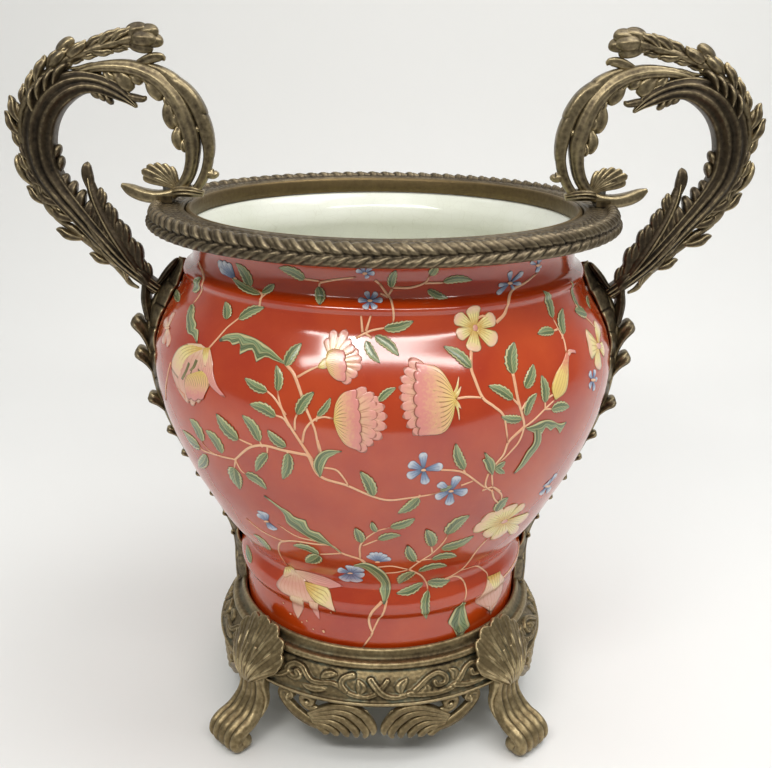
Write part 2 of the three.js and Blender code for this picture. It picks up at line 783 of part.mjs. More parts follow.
const scrollMiddle = [collarRadius + SCROLL_OUT, collarTop + SCROLL_UP];
const hoopMiddle = [collarRadius + HOOP_OUT, collarTop + HOOP_UP];

/** A point at an angle and a distance from a middle, in the handle's plane. */
function polar([out, up], degrees, radius) {
  const angle = THREE.MathUtils.degToRad(degrees);
  return [out + radius * Math.cos(angle), up + radius * Math.sin(angle)];
}

const armFoot = [rootStation.point.x, rootStation.point.z];
const armElbow = polar(scrollMiddle, -50, SCROLL_RADIUS);
const armShank = [0.15, 0.35, 0.58, 0.8].map((share) => {
  const climb = new THREE.Vector2(armElbow[0] - armFoot[0], armElbow[1] - armFoot[1]);
  const side = new THREE.Vector2(climb.y, -climb.x).normalize();
  const sag = ARM_SAG * Math.sin(Math.PI * share);
  return [armFoot[0] + climb.x * share + side.x * sag, armFoot[1] + climb.y * share + side.y * sag];
});
const armCurl = [-20, 5, 30, 55, 80, 105, 128, SCROLL_END_DEG].map((degrees) =>
  polar(scrollMiddle, degrees, SCROLL_RADIUS),
);
const armPath = pathOf([armFoot, ...armShank, armElbow, ...armCurl]);

const armHalf = ARM_THICKNESS / 2;
const armSection = {
  steps: 26,
  sides: 8,
  halfThickness: along([
    [0, armHalf * 0.5],
    [0.1, armHalf * 0.75],
    [0.3, armHalf * 0.9],
    [0.5, armHalf * 0.95],
    [0.68, armHalf * 0.9],
    [0.82, armHalf * 0.66],
    [0.92, armHalf * 0.42],
    [1, 0.9],
  ]),
  halfWidth: (share) => {
    const plain = along([
      [0, ARM_WIDTH * 0.24],
      [0.25, ARM_WIDTH * 0.34],
      [0.5, ARM_WIDTH * 0.5],
      [0.72, ARM_WIDTH * 0.47],
      [0.9, ARM_WIDTH * 0.26],
      [1, 1.6],
    ])(share);
    return plain * (1 - 0.14 * Math.abs(Math.sin(share * 18 * Math.PI * 0.5)));
  },
};
const grownArm = () => swept(armPath, { ...armSection, grow: SEAT_GAP });

const hoopRadiusAt = (degrees) => HOOP_RADIUS + HOOP_SPREAD * ((degrees - 135) / 87) ** 2;
const hoopPoint = (offset) => (degrees) => polar(hoopMiddle, degrees, hoopRadiusAt(degrees) + offset);
const hoopAngles = [50, 68, 86, 104, 122, 140, 158, 176, 194, 210, 224];
const hoopPath = pathOf(
  hoopAngles.map((degrees, i) => hoopPoint(i > 5 ? -STRAND_OFFSET * 0.4 : 0)(degrees)),
);
const strandPath = pathOf([128, 144, 160, 176, 192, 208, 226].map(hoopPoint(STRAND_OFFSET * 0.6)));

// Pins: each starts in the arm and ends in the piece that it holds
const sprayPinShares = [0.3, 0.6];
const hoopPinShare = 0.86;
const leafPinShare = 0.2;

function armPin(share, side, held) {
  const { point, outward } = stationOn(armPath, share);
  const half = armSection.halfThickness(share);
  const direction = outward.clone().multiplyScalar(side);
  return { start: point.clone(), direction, length: half + SEAT_GAP + held };
}
const sprayPins = sprayPinShares.map((share) => armPin(share, 1, STEM_RADIUS));
const hoopPin = armPin(hoopPinShare, 1, HOOP_THICKNESS * 0.35);
const leafPin = armPin(leafPinShare, -1, ARM_LEAF_THICKNESS * 0.45);
const pinHole = ({ start, direction, length }) => holeFor(start, direction, PIN_RADIUS, length, HOLE_GAP);

function handleArm() {
  const strapCut = swept(strapPath, { ...strapSection, grow: SEAT_GAP });
  const screwHole = holeFor(armScrewStart, rootOut, ARM_SCREW.radius, armScrewLength);
  const arm = cut(swept(armPath, armSection), strapCut, screwHole, ...sprayPins.map(pinHole));
  return cut(arm, pinHole(hoopPin), pinHole(leafPin));
}

const hoopSection = {
  steps: 15,
  sides: 8,
  halfThickness: along([
    [0, HOOP_THICKNESS * 0.35],
    [0.25, HOOP_THICKNESS * 0.5],
    [0.5, HOOP_THICKNESS * 0.45],
    [0.7, STRAND_THICKNESS * 0.6],
    [1, STRAND_THICKNESS * 0.75],
  ]),
  halfWidth: along([
    [0, HOOP_WIDTH * 0.4],
    [0.3, HOOP_WIDTH * 0.5],
    [0.7, HOOP_WIDTH * 0.42],
    [1, HOOP_WIDTH * 0.36],
  ]),
};

function handleHoop() {
  const band = swept(hoopPath, hoopSection);
  const strand = swept(strandPath, {
    steps: 8,
    sides: 6,
    halfThickness: along([
      [0, 1],
      [0.3, STRAND_THICKNESS / 2],
      [1, STRAND_THICKNESS / 2],
    ]),
    halfWidth: along([
      [0, 2],
      [0.3, HOOP_WIDTH * 0.3],
      [1, HOOP_WIDTH * 0.34],
    ]),
  });
  const [landOut, landUp] = hoopPoint(-STRAND_OFFSET * 0.4)(220);
  const tailPath = pathOf([
    [landOut - TAIL_LENGTH * 0.09, landUp + TAIL_THICKNESS * 0.1],
    [landOut + TAIL_LENGTH * 0.3, lugTop + TAIL_THICKNESS * 0.26],
    [landOut + TAIL_LENGTH * 0.65, lugTop + TAIL_THICKNESS * 0.22],
    [landOut + TAIL_LENGTH, lugTop + TAIL_THICKNESS * 0.56],
  ]);
  const tail = swept(tailPath, {
    steps: 6,
    sides: 6,
    halfThickness: along([
      [0, TAIL_THICKNESS / 2],
      [0.6, TAIL_THICKNESS * 0.34],
      [1, TAIL_THICKNESS * 0.08],
    ]),
    halfWidth: along([
      [0, TAIL_WIDTH / 2],
      [0.6, TAIL_WIDTH * 0.36],
      [1, TAIL_WIDTH * 0.11],
    ]),
  });
  const fanPath = pathOf([
    [landOut, landUp + FAN_REACH * 0.1, FAN_WIDTH * 0.38],
    [landOut + FAN_REACH * 0.53, landUp + FAN_REACH * 0.42, FAN_WIDTH * 0.75],
    [landOut + FAN_REACH, landUp + FAN_REACH * 0.63, FAN_WIDTH],
  ]);
  const fan = swept(fanPath, {
    steps: 4,
    sides: 6,
    halfThickness: along([
      [0, FAN_WIDTH * 0.5],
      [0.6, FAN_WIDTH * 0.57],
      [1, FAN_WIDTH * 0.18],
    ]),
    halfWidth: along([
      [0, FAN_WIDTH * 0.38],
      [1, FAN_WIDTH * 0.25],
    ]),
  });
  const belowHalf = 2 * TAIL_LENGTH;
  const below = block([landOut - belowHalf, landOut + belowHalf], [-belowHalf, belowHalf], [lipTop, lugTop + SEAT_GAP]);
  const boltStart = new THREE.Vector3(collarBoltAt, 0, lugTop);
  const boltHole = holeFor(boltStart, new THREE.Vector3(0, 0, 1), COLLAR_BOLT.radius, 5.2, 1);
  return cut(joined(band, strand, tail, fan), grownArm(), below, boltHole, pinHole(hoopPin));
}

function handleLug() {
  const half = [LUG_LENGTH / 2, LUG_WIDTH / 2];
  const body = block(
    [collarBoltAt - half[0], collarBoltAt + half[0]],
    [-half[1], half[1]],
    [collarTop + SEAT_GAP, lugTop],
  );
  const start = new THREE.Vector3(collarBoltAt, 0, collarTop);
  return cut(body, holeFor(start, new THREE.Vector3(0, 0, 1), COLLAR_BOLT.radius, LUG_HEIGHT + 1));
}

const stemOffset = (share) => armSection.halfThickness(share) + SEAT_GAP + STEM_RADIUS;
const stemLow = [0.06, 0.16, 0.28, 0.4, 0.5, 0.58, 0.66, 0.71, SPRAY_LEAVES].map((share) => {
  const { point, outward } = stationOn(armPath, share);
  const clear = stemOffset(share) + (share < 0.5 ? -0.4 * STEM_RADIUS : 0);
  return [point.x + outward.x * clear, point.z + outward.z * clear];
});
const hoopHalf = HOOP_THICKNESS / 2;
const stemHigh = [
  [66, STEM_RADIUS],
  [84, STEM_RADIUS + SPRAY_LIFT * 0.15],
  [95, STEM_RADIUS + SPRAY_LIFT * 0.42],
  [104, SPRAY_LIFT],
].map(([degrees, lift]) => hoopPoint(hoopHalf + lift)(degrees));
const stemPath = pathOf([...stemLow, ...stemHigh]);

function handleSpray() {
  const stem = swept(stemPath, {
    steps: 20,
    sides: 6,
    halfThickness: along([
      [0, STEM_RADIUS * 0.3],
      [0.1, STEM_RADIUS * 0.7],
      [0.4, STEM_RADIUS],
      [1, STEM_RADIUS * 1.15],
    ]),
    halfWidth: along([
      [0, STEM_RADIUS * 0.45],
      [0.2, STEM_RADIUS],
      [0.6, STEM_RADIUS * 1.3],
      [1, STEM_RADIUS * 1.3],
    ]),
  });
  const end = stemPath.getPointAt(1);
  const cluster = [
    [-0.38, 0, 0.69],
    [-0.67, 0.88, -0.12],
    [-0.67, -0.88, -0.12],
    [-0.19, 0, -0.69],
  ].map(([out, across, up]) => {
    const at = [end.x + out * BUD_RADIUS, across * BUD_RADIUS, end.z + up * BUD_RADIUS];
    return lump(at, [BUD_RADIUS * 1.3, BUD_RADIUS, BUD_RADIUS]);
  });
  const buds = [0.5, 0.72].map((share) => {
    const { point, outward } = stationOn(stemPath, share);
    const at = point.clone().addScaledVector(outward, STEM_RADIUS * 1.4);
    return lump(at.toArray(), [BUD_RADIUS * 0.8, BUD_RADIUS * 0.8, BUD_RADIUS]);
  });
  const bracts = [0.14, 0.26, 0.36, 0.6, 0.8, 0.88].map((share) => {
    const { point, direction, outward } = stationOn(stemPath, share);
    const lean = outward.clone().addScaledVector(direction, 1.3);
    return tip(point, lean, STEM_RADIUS * 2.8, STEM_RADIUS);
  });
  return cut(
    joined(stem, ...cluster, ...buds, ...bracts),
    grownArm(),
    swept(hoopPath, { ...hoopSection, grow: SEAT_GAP }),
    ...sprayPins.map(pinHole),
  );
}

function armLeaf() {
  const points = [0.07, 0.14, 0.22, 0.29, 0.35].map((share) => {
    const { point, outward } = stationOn(armPath, share);
    const clear = armSection.halfThickness(share) + ARM_LEAF_THICKNESS * 0.1;
    return [point.x - outward.x * clear, point.z - outward.z * clear];
  });
  const { point, outward, direction } = stationOn(armPath, 0.42);
  const tipAt = point.clone().addScaledVector(outward, -ARM_THICKNESS * 0.9).addScaledVector(direction, 1);
  const blade = swept(pathOf([...points, [tipAt.x, tipAt.z]]), {
    steps: 10,
    sides: 8,
    halfThickness: along([
      [0, 1],
      [0.2, ARM_LEAF_THICKNESS * 0.4],
      [0.7, ARM_LEAF_THICKNESS * 0.5],
      [1, 0.9],
    ]),
    halfWidth: (share) => {
      const plain = along([
        [0, 2],
        [0.3, ARM_LEAF_WIDTH * 0.42],
        [0.65, ARM_LEAF_WIDTH * 0.5],
        [1, 1.4],
      ])(share);
      return plain * (1 - 0.16 * Math.abs(Math.sin(share * 7 * Math.PI)));
    },
  });
  return cut(blade, grownArm(), pinHole(leafPin));
}

// The assembly

const jardiniere = new THREE.Group();

function addPiece(name, solid, material) {
  const piece = new THREE.Mesh(geometryOf(solid), material);
  piece.name = name;
  jardiniere.add(piece);
  return piece;
}

/** The same piece on each side of the bowl: drawn on +X, and mirrored for the left. */
function addPair(name, solid, material) {
  addPiece(name + "_right", solid, material);
  addPiece(name + "_left", solid, material).scale.x = -1;
}

/** The same piece at each of several angles round the axis. */
function addRound(name, solid, material, angles) {
  angles.forEach((angle, i) => {
    addPiece(name + "_" + (i + 1), solid, material).rotation.z = angle;
  });
}

addPiece("porcelain_bowl", bowl(), porcelain);
addPiece("foot_bedding", bedding(FOOT_RADIUS - 9, FOOT_RADIUS - 1, seatHeight + SEAT_GAP), felt);
addPiece("lip_bedding", bedding(collarInner + 0.6, lipRadius - 0.6, lipTop + SEAT_GAP), felt);
addPiece("collar", collar(), bronze);
addPiece("mouth_band", mouthBand(), brass);
addPiece("base_ring", baseRing(), bronze);
legAngles.forEach((angle, i) => {
  const piece = addPiece("leg_" + (i + 1), leg(), bronze);
  piece.rotation.z = angle;
  if (i % 2 === 0) piece.scale.y = -1;
});
addRound("side_apron", apron(sideApron), bronze, sideApron.at);
addRound("front_apron", apron(frontApron), bronze, frontApron.at);
addPair("strap", strap(), bronze);
addPair("handle_arm", handleArm(), bronze);
addPair("handle_hoop", handleHoop(), bronze);
addPair("handle_spray", handleSpray(), bronze);
addPair("arm_leaf", armLeaf(), bronze);
addPair("handle_lug", handleLug(), brass);

const up = new THREE.Vector3(0, 0, 1);
const collarBoltSeat = lipTop - SEAT_GAP;
const collarBoltStart = new THREE.Vector3(collarBoltAt, 0, collarBoltSeat);
const baseBoltFoot = new THREE.Vector3(baseBoltAt, 0, baseBoltStart);
const collarBoltLength = lugTop + 5 - collarBoltSeat;
addPair("collar_bolt", screw(collarBoltStart, up, COLLAR_BOLT, collarBoltLength), steel);
addPair("base_bolt", screw(baseBoltFoot, up, BASE_BOLT, baseBoltLength), steel);
addPair("arm_screw", screw(armScrewStart, rootOut, ARM_SCREW, armScrewLength), steel);
sprayPins.forEach(({ start, direction, length }, i) => {
  addPair("spray_pin_" + (i + 1), pin(start, direction, length), brass);
});
addPair("hoop_pin", pin(hoopPin.start, hoopPin.direction, hoopPin.length), brass);
addPair("leaf_pin", pin(leafPin.start, leafPin.direction, leafPin.length), brass);

const legScrew = radial(0, legScrewSeat, legScrewHeight);
const legScrewLength = FRIEZE_WALL + LEG_SCREW_BITE;
addRound("leg_screw", screw(legScrew.start, legScrew.direction, LEG_SCREW, legScrewLength), steel, legAngles);
const apronScrew = radial(0, apronScrewSeat, apronScrewHeight);
addRound(
  "apron_screw",
  screw(apronScrew.start, apronScrew.direction, APRON_SCREW, apronScrewLength),
  steel,
  apronScrewAngles,
);

export default jardiniere;
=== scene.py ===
import math

import bpy
import numpy as np
from mathutils import Matrix, Vector


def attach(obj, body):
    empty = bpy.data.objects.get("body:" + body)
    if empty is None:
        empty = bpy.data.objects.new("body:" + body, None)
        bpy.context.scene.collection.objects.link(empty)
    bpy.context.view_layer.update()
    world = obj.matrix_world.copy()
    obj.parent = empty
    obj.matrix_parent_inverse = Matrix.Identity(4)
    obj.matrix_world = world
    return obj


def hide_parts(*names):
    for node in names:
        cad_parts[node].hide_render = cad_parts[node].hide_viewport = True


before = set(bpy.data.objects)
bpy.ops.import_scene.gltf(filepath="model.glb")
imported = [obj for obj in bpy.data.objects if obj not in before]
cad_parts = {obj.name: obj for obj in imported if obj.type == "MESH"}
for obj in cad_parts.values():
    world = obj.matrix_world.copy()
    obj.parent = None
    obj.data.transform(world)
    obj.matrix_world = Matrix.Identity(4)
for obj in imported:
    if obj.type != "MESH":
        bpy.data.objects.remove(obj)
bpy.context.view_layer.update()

# Lengths below are in millimetres. "out" is the distance from the bowl's axis, and an azimuth is counted
# from the front of the bowl towards the viewer's right.
MM = 0.001
WELD_GAP, SLIVER = 0.00003, 0.00001     # metres, as Blender's own operators take them
SIDES_ROUND = 192                       # steps in a spun ring


# ---------------------------------------------------------------- selecting and shaping

def clear_selection():
    if bpy.context.object and bpy.context.object.mode != "OBJECT":
        bpy.ops.object.mode_set(mode="OBJECT")
    bpy.ops.object.select_all(action="DESELECT")


def only(piece):
    clear_selection()
    piece.select_set(True)
    bpy.context.view_layer.objects.active = piece


def points_of(piece):
    """The mesh's points, in millimetres."""
    flat = np.empty(len(piece.data.vertices) * 3)
    piece.data.vertices.foreach_get("co", flat)
    return flat.reshape(-1, 3) / MM


def set_points(piece, points):
    piece.data.vertices.foreach_set("co", (np.asarray(points) * MM).ravel())
    piece.data.update()


def outward(piece):
    """Every face of a closed piece turned outward."""
    only(piece)
    bpy.ops.object.mode_set(mode="EDIT")
    bpy.ops.mesh.select_all(action="SELECT")
    bpy.ops.mesh.normals_make_consistent(inside=False)
    bpy.ops.object.mode_set(mode="OBJECT")
    return piece


def weld(piece):
    """Seams and poles closed, faces outward."""
    only(piece)
    bpy.ops.object.mode_set(mode="EDIT")
    bpy.ops.mesh.select_all(action="SELECT")
    bpy.ops.mesh.remove_doubles(threshold=WELD_GAP)
    bpy.ops.mesh.dissolve_degenerate(threshold=SLIVER)
    bpy.ops.mesh.normals_make_consistent(inside=False)
    bpy.ops.object.mode_set(mode="OBJECT")
    bpy.ops.object.shade_smooth()


def modified(piece, kind, **settings):
    only(piece)
    modifier = piece.modifiers.new(kind, kind)
    for key, value in settings.items():
        setattr(modifier, key, value)
    bpy.ops.object.modifier_apply(modifier=kind)
    return piece


def formed(name, across, along, place, thickness=0):
    """A flat grid laid over the real surface: place(u, v) gives each of its points, u and v from 0 to 1."""
    clear_selection()
    bpy.ops.mesh.primitive_grid_add(x_subdivisions=across, y_subdivisions=along, size=1)
    piece = bpy.context.object
    u, v = (points_of(piece)[:, :2] * MM + 0.5).T
    set_points(piece, np.stack(place(u, v), axis=1))
    if thickness:
        modified(piece, "SOLIDIFY", thickness=thickness * MM, offset=0)
    weld(piece)
    piece.name = name
    return piece


def turned(name, section):
    """A closed section of (out, up) points, spun once round the bowl's axis."""
    clear_selection()
    bpy.ops.mesh.primitive_circle_add(vertices=len(section))
    piece = bpy.context.object
    set_points(piece, [(out, 0, up) for out, up in section])
    bpy.ops.object.mode_set(mode="EDIT")
    bpy.ops.mesh.select_all(action="SELECT")
    bpy.ops.mesh.spin(steps=SIDES_ROUND, angle=2 * math.pi, center=(0, 0, 0), axis=(0, 0, 1))
    weld(piece)
    piece.name = name
    return piece


def copied(piece, matrix=None):
    """A copy with its own mesh."""
    other = piece.copy()
    other.data = piece.data.copy()
    bpy.context.collection.objects.link(other)
    if matrix:
        other.data.transform(matrix)
    return other


def joined(name, parts):
    clear_selection()
    for part in parts:
        part.select_set(True)
    bpy.context.view_layer.objects.active = parts[0]
    bpy.ops.object.join()
    whole = bpy.context.object
    whole.name = whole.data.name = name
    return whole


def mirrored(piece, name):
    """The same casting for the left side."""
    other = copied(piece, Matrix.Scale(-1, 4, (1, 0, 0)))
    other.data.flip_normals()
    other.name = other.data.name = name
    return other


def turned_to(piece, degrees):
    """Turns the mesh round the bowl's axis; the object itself stays at the origin, unturned."""
    piece.data.transform(Matrix.Rotation(math.radians(degrees), 4, "Z"))
    return piece


def rubbed(piece, gain=0.9, middle=0.5, passes=3):
    """Writes "rub" on the mesh: near 1 on the ridges that are handled and polished, near 0 in the hollows.
    It adds gain times the bend of the surface to middle, after smoothing the bend over a few passes."""
    mesh = piece.data
    points = points_of(piece)
    normals = np.empty(points.size)
    mesh.vertices.foreach_get("normal", normals)
    normals = normals.reshape(-1, 3)
    ends = np.empty(len(mesh.edges) * 2, dtype=np.int64)
    mesh.edges.foreach_get("vertices", ends)
    a, b = ends.reshape(-1, 2).T
    step = points[a] - points[b]
    square = np.maximum((step ** 2).sum(1), 0.01)
    count = np.bincount(a, minlength=len(points)) + np.bincount(b, minlength=len(points))
    count = np.maximum(count, 1)

    def gathered(from_a, from_b):
        total = np.bincount(a, from_a, len(points)) + np.bincount(b, from_b, len(points))
        return total / count

    bend = gathered((normals[a] * step).sum(1) / square, -(normals[b] * step).sum(1) / square)
    for _ in range(passes):
        bend = 0.5 * bend + 0.5 * gathered(bend[b], bend[a])
    value = np.clip(middle + gain * bend, 0, 1)
    if "rub" not in mesh.attributes:
        mesh.attributes.new("rub", "FLOAT", "POINT")
    mesh.attributes["rub"].data.foreach_set("value", value)
    return piece


class Course:
    """A smooth line through (out, up) points in an upright plane, read by its share of the length."""
    FINENESS = 16     # points on the line for each one that is given

    def __init__(self, points, side=1):
        p = np.array(points, float)
        p = np.vstack([2 * p[0] - p[1], p, 2 * p[-1] - p[-2]])
        fine = []
        for i in range(1, len(p) - 2):
            # Between each two points runs a cubic that also heeds their neighbours.
            t = np.linspace(0, 1, self.FINENESS, endpoint=False)[:, None]
            a, b, c, d = p[i - 1], p[i], p[i + 1], p[i + 2]
            fine.append(0.5 * (2 * b + (c - a) * t + (2 * a - 5 * b + 4 * c - d) * t ** 2
                               + (3 * b - a - 3 * c + d) * t ** 3))
        self.points = np.vstack(fine + [p[-2][None]])
        steps = np.linalg.norm(np.diff(self.points, axis=0), axis=1)
        self.length = steps.sum()
        self.share = np.concatenate([[0], np.cumsum(steps)]) / self.length
        lean = np.gradient(self.points, self.share, axis=0)
        lean /= np.linalg.norm(lean, axis=1)[:, None] + 1e-9
        self.lean, self.side = lean, side

    def at(self, share):
        """out, up, and the unit direction away from the line, on its outer side for a side of 1."""
        share = np.clip(share, 0, 1)
        out, up = (np.interp(share, self.share, self.points[:, k]) for k in (0, 1))
        along, rise = (np.interp(share, self.share, self.lean[:, k]) for k in (0, 1))
        size = np.hypot(along, rise) + 1e-9
        return out, up, self.side * rise / size, -self.side * along / size


def through(*stops):
    """A value that runs smoothly through (share, value) stops."""
    at, value = zip(*stops)
    line = Course(list(zip(at, value)))
    return lambda share: np.interp(share, line.points[:, 0], line.points[:, 1])


def lobed(share, number, depth):
    """The edge of a leaf: lobes that lean towards its tip, with a narrow notch between each two."""
    part = (share * number) % 1.0
    return 1 - depth * (1 - np.sin(math.pi * (1 - (1 - part) ** 0.62)) ** 0.5)


def beside(course, share, *steps):
    """Points placed from a spot on a course: (away from it, along it) steps in millimetres."""
    out, up, n_out, n_up = (float(value) for value in course.at(share))
    t_out, t_up = -n_up * course.side, n_out * course.side
    return [(out + a * n_out + b * t_out, up + a * n_up + b * t_up) for a, b in steps]


def frond(name, course, low, high, deep, lobes=(0, 0), notch=(0, 0), slant=0.0, flutes=3, groove=0.2,
          around=36, along=110, keel=0.75, vein=0.25):
    """A chased leaf or scroll seen from its side: closed all round, lobed on either edge, fluted lengthwise.
    low and high are its widths on either side of the course, and deep is half its thickness along Y. A keel
    under 1 makes it full and one over 1 sharp-edged, and vein thins its edges at every notch."""

    def place(u, v):
        turn = 2 * math.pi * u
        across = np.cos(turn)
        upper = across > 0
        number = np.where(upper, lobes[1], lobes[0])
        depth = np.where(upper, notch[1], notch[0])
        edge = np.where(upper, high(v), low(v)) * lobed(v, number, depth)
        ends = np.clip(4 * v * (1 - v), 0, 1)
        share = v + slant * np.abs(across) ** 1.6 * ends
        body = np.sign(np.sin(turn)) * np.abs(np.sin(turn)) ** keel * deep(v)
        ripple = 0.5 - 0.5 * np.cos(2 * math.pi * flutes * (0.5 + 0.5 * across))
        body = body * (1 - groove * ripple)
        body = body * (1 - vein * (1 - lobed(v, number, 1.0)) * np.abs(across) * (depth > 0))
        closed = np.clip(np.minimum(v, 1 - v) * along, 0, 1)
        out, up, n_out, n_up = course.at(share)
        return out + n_out * across * edge * closed, body * closed, up + n_up * across * edge * closed

    return formed(name, around, along, place)


def blade(name, course, half, drop, lobes, notch, slant, relief, rise, thickness, across, along):
    """An acanthus leaf that faces out from its course, its width along Y, with a vein into every lobe. It
    stands rise above the course, and its edges fall away by drop."""

    def place(u, v):
        side = 2 * u - 1
        reach = np.abs(side)
        width = half(v) * lobed(v, lobes, notch)
        share = v + slant * reach * (1 - v) ** 0.5 * np.clip(v * 6, 0, 1)
        ribs = lobed(v, lobes, 1.0)
        lift = rise - drop(v) * reach ** 1.7
        lift = lift + relief * (ribs - 0.6) * np.clip(reach * 3, 0, 1) * (1 - 0.5 * reach)
        lift = lift + relief * 1.3 * np.exp(-(side / 0.12) ** 2)
        out, up, n_out, n_up = course.at(share)
        return out + n_out * lift, side * width, up + n_up * lift

    return formed(name, across, along, place, thickness)


# ---------------------------------------------------------------- materials

def linear(colour):
    """An sRGB hex colour as linear red, green, blue and 1."""
    parts = [int(colour[i:i + 2], 16) / 255 for i in (1, 3, 5)]
    return [p / 12.92 if p <= 0.04045 else ((p + 0.055) / 1.055) ** 2.4 for p in parts] + [1]


def add(tree, kind, inputs=None, stops=None, **settings):
    """Adds a node with its settings, values and links, and returns its outputs."""
    node = tree.nodes.new("ShaderNode" + kind)
    for key, value in settings.items():
        setattr(node, key, value)
    for key, value in (inputs or {}).items():
        if isinstance(value, bpy.types.NodeSocket):
            tree.links.new(value, node.inputs[key])
        else:
            node.inputs[key].default_value = linear(value) if isinstance(value, str) else value
    for i, (position, colour) in enumerate(stops or []):
        element = node.color_ramp.elements[i] if i < 2 else node.color_ramp.elements.new(position)
        element.position, element.color = position, linear(colour)
    return node.outputs


def new_material(name):
    material = bpy.data.materials.new(name)
    material.use_nodes = True
    material.node_tree.nodes.clear()
    return material, material.node_tree


def finished(tree, inputs):
    surface = add(tree, "BsdfPrincipled", inputs)["BSDF"]
    add(tree, "OutputMaterial", {"Surface": surface})


def coral_glaze():
    # Hard-paste porcelain, fired with an iron-red ground under a clear glaze: deep and glassy, a little
    # uneven where the brush laid it on, with the faint wave of a dipped surface in its reflections.
    material, tree = new_material("iron_red_glazed_porcelain")
    place = add(tree, "TexCoord")["Object"]
    cloud = add(tree, "TexNoise", {"Vector": place, "Scale": 1000 / 42, "Detail": 4.0})["Fac"]
    ground = add(tree, "ValToRGB", {"Fac": cloud}, [(0.3, "#A62B06"), (0.72, "#BF4511")])["Color"]
    specks = add(tree, "TexNoise", {"Vector": place, "Scale": 1000 / 2.2, "Detail": 2.0})["Fac"]
    thin = add(tree, "MapRange", {"Value": specks, "From Min": 0.62, "From Max": 0.8, "To Max": 0.35})[0]
    colour = add(tree, "Mix", {0: thin, 6: ground, 7: "#C24A20"}, data_type="RGBA")[2]
    wave = add(tree, "TexNoise", {"Vector": place, "Scale": 1000 / 30, "Detail": 1.0})["Fac"]
    bump = add(tree, "Bump", {"Height": wave, "Strength": 0.10, "Distance": 0.0005})["Normal"]
    finished(tree, {"Base Color": colour, "Roughness": 0.13, "IOR": 1.76, "Normal": bump})
    return material


def celadon_glaze():
    # The inside: porcelain under a pale grey-green glaze with a faint fine crackle, about 7 mm across.
    material, tree = new_material("pale_celadon_crackle_glaze")
    place = add(tree, "TexCoord")["Object"]
    cracks = add(tree, "TexVoronoi", {"Vector": place, "Scale": 1000 / 7}, feature="DISTANCE_TO_EDGE")[0]
    line = add(tree, "MapRange", {"Value": cracks, "From Min": 0.0, "From Max": 0.025,
                                  "To Min": 0.14, "To Max": 0.0})[0]
    cloud = add(tree, "TexNoise", {"Vector": place, "Scale": 1000 / 60, "Detail": 3.0})["Fac"]
    pale = add(tree, "ValToRGB", {"Fac": cloud}, [(0.3, "#DEE0D2"), (0.7, "#ECEDE3")])["Color"]
    colour = add(tree, "Mix", {0: line, 6: pale, 7: "#A79F86"}, data_type="RGBA")[2]
    finished(tree, {"Base Color": colour, "Roughness": 0.12, "IOR": 1.52})
    return material


def bronze(name, dark, body, bright, green=0.0, smooth=0.36, grain=2.6):
    # Cast bronze, chased and chemically patinated: brown-black stays in the hollows, and hands and cloths
    # have rubbed the raised parts back to a dull gold. Sand-cast skin, so a fine pitted grain.
    material, tree = new_material(name)
    place = add(tree, "TexCoord")["Object"]
    rub = add(tree, "Attribute", attribute_name="rub")["Fac"]
    cloud = add(tree, "TexNoise",
                {"Vector": place, "Scale": 1000 / 17, "Detail": 5.0, "Roughness": 0.6})["Fac"]
    fleck = add(tree, "TexNoise", {"Vector": place, "Scale": 1000 / grain, "Detail": 3.0})["Fac"]
    uneven = add(tree, "Math", {0: cloud, 1: fleck}, operation="ADD")[0]
    uneven = add(tree, "MapRange", {"Value": uneven, "From Min": 0.6, "From Max": 1.4,
                                    "To Min": -0.12, "To Max": 0.12})[0]
    worn = add(tree, "Math", {0: rub, 1: uneven}, operation="ADD", use_clamp=True)[0]
    tone = add(tree, "ValToRGB", {"Fac": worn}, [(0.28, dark), (0.55, body), (0.86, bright)])["Color"]
    hollow = add(tree, "MapRange", {"Value": rub, "From Min": 0.5, "From Max": 0.25,
                                    "To Min": 0.0, "To Max": green})[0]
    patch = add(tree, "MapRange", {"Value": cloud, "From Min": 0.46, "From Max": 0.62})[0]
    moss = add(tree, "Math", {0: hollow, 1: patch}, operation="MULTIPLY")[0]
    colour = add(tree, "Mix", {0: moss, 6: tone, 7: "#6F8274"}, data_type="RGBA")[2]
    dull = add(tree, "MapRange", {"Value": worn, "From Min": 0.2, "From Max": 0.9,
                                  "To Min": smooth + 0.2, "To Max": smooth - 0.04})[0]
    bump = add(tree, "Bump", {"Height": fleck, "Strength": 0.35, "Distance": 0.0005})["Normal"]
    finished(tree, {"Base Color": colour, "Metallic": 0.82, "Roughness": dull, "Normal": bump})
    return material


def dull_metal(name, dark, pale, metallic, rough):
    # Drawn or turned stock for the fixings: plain, lightly oxidised, with fine scratches from the driver.
    material, tree = new_material(name)
    place = add(tree, "TexCoord")["Object"]
    spots = add(tree, "TexNoise", {"Vector": place, "Scale": 1000 / 3, "Detail": 3.0})["Fac"]
    colour = add(tree, "ValToRGB", {"Fac": spots}, [(0.35, dark), (0.65, pale)])["Color"]
    bump = add(tree, "Bump", {"Height": spots, "Strength": 0.2, "Distance": 0.0003})["Normal"]
    finished(tree, {"Base Color": colour, "Metallic": metallic, "Roughness": rough, "Normal": bump})
    return material


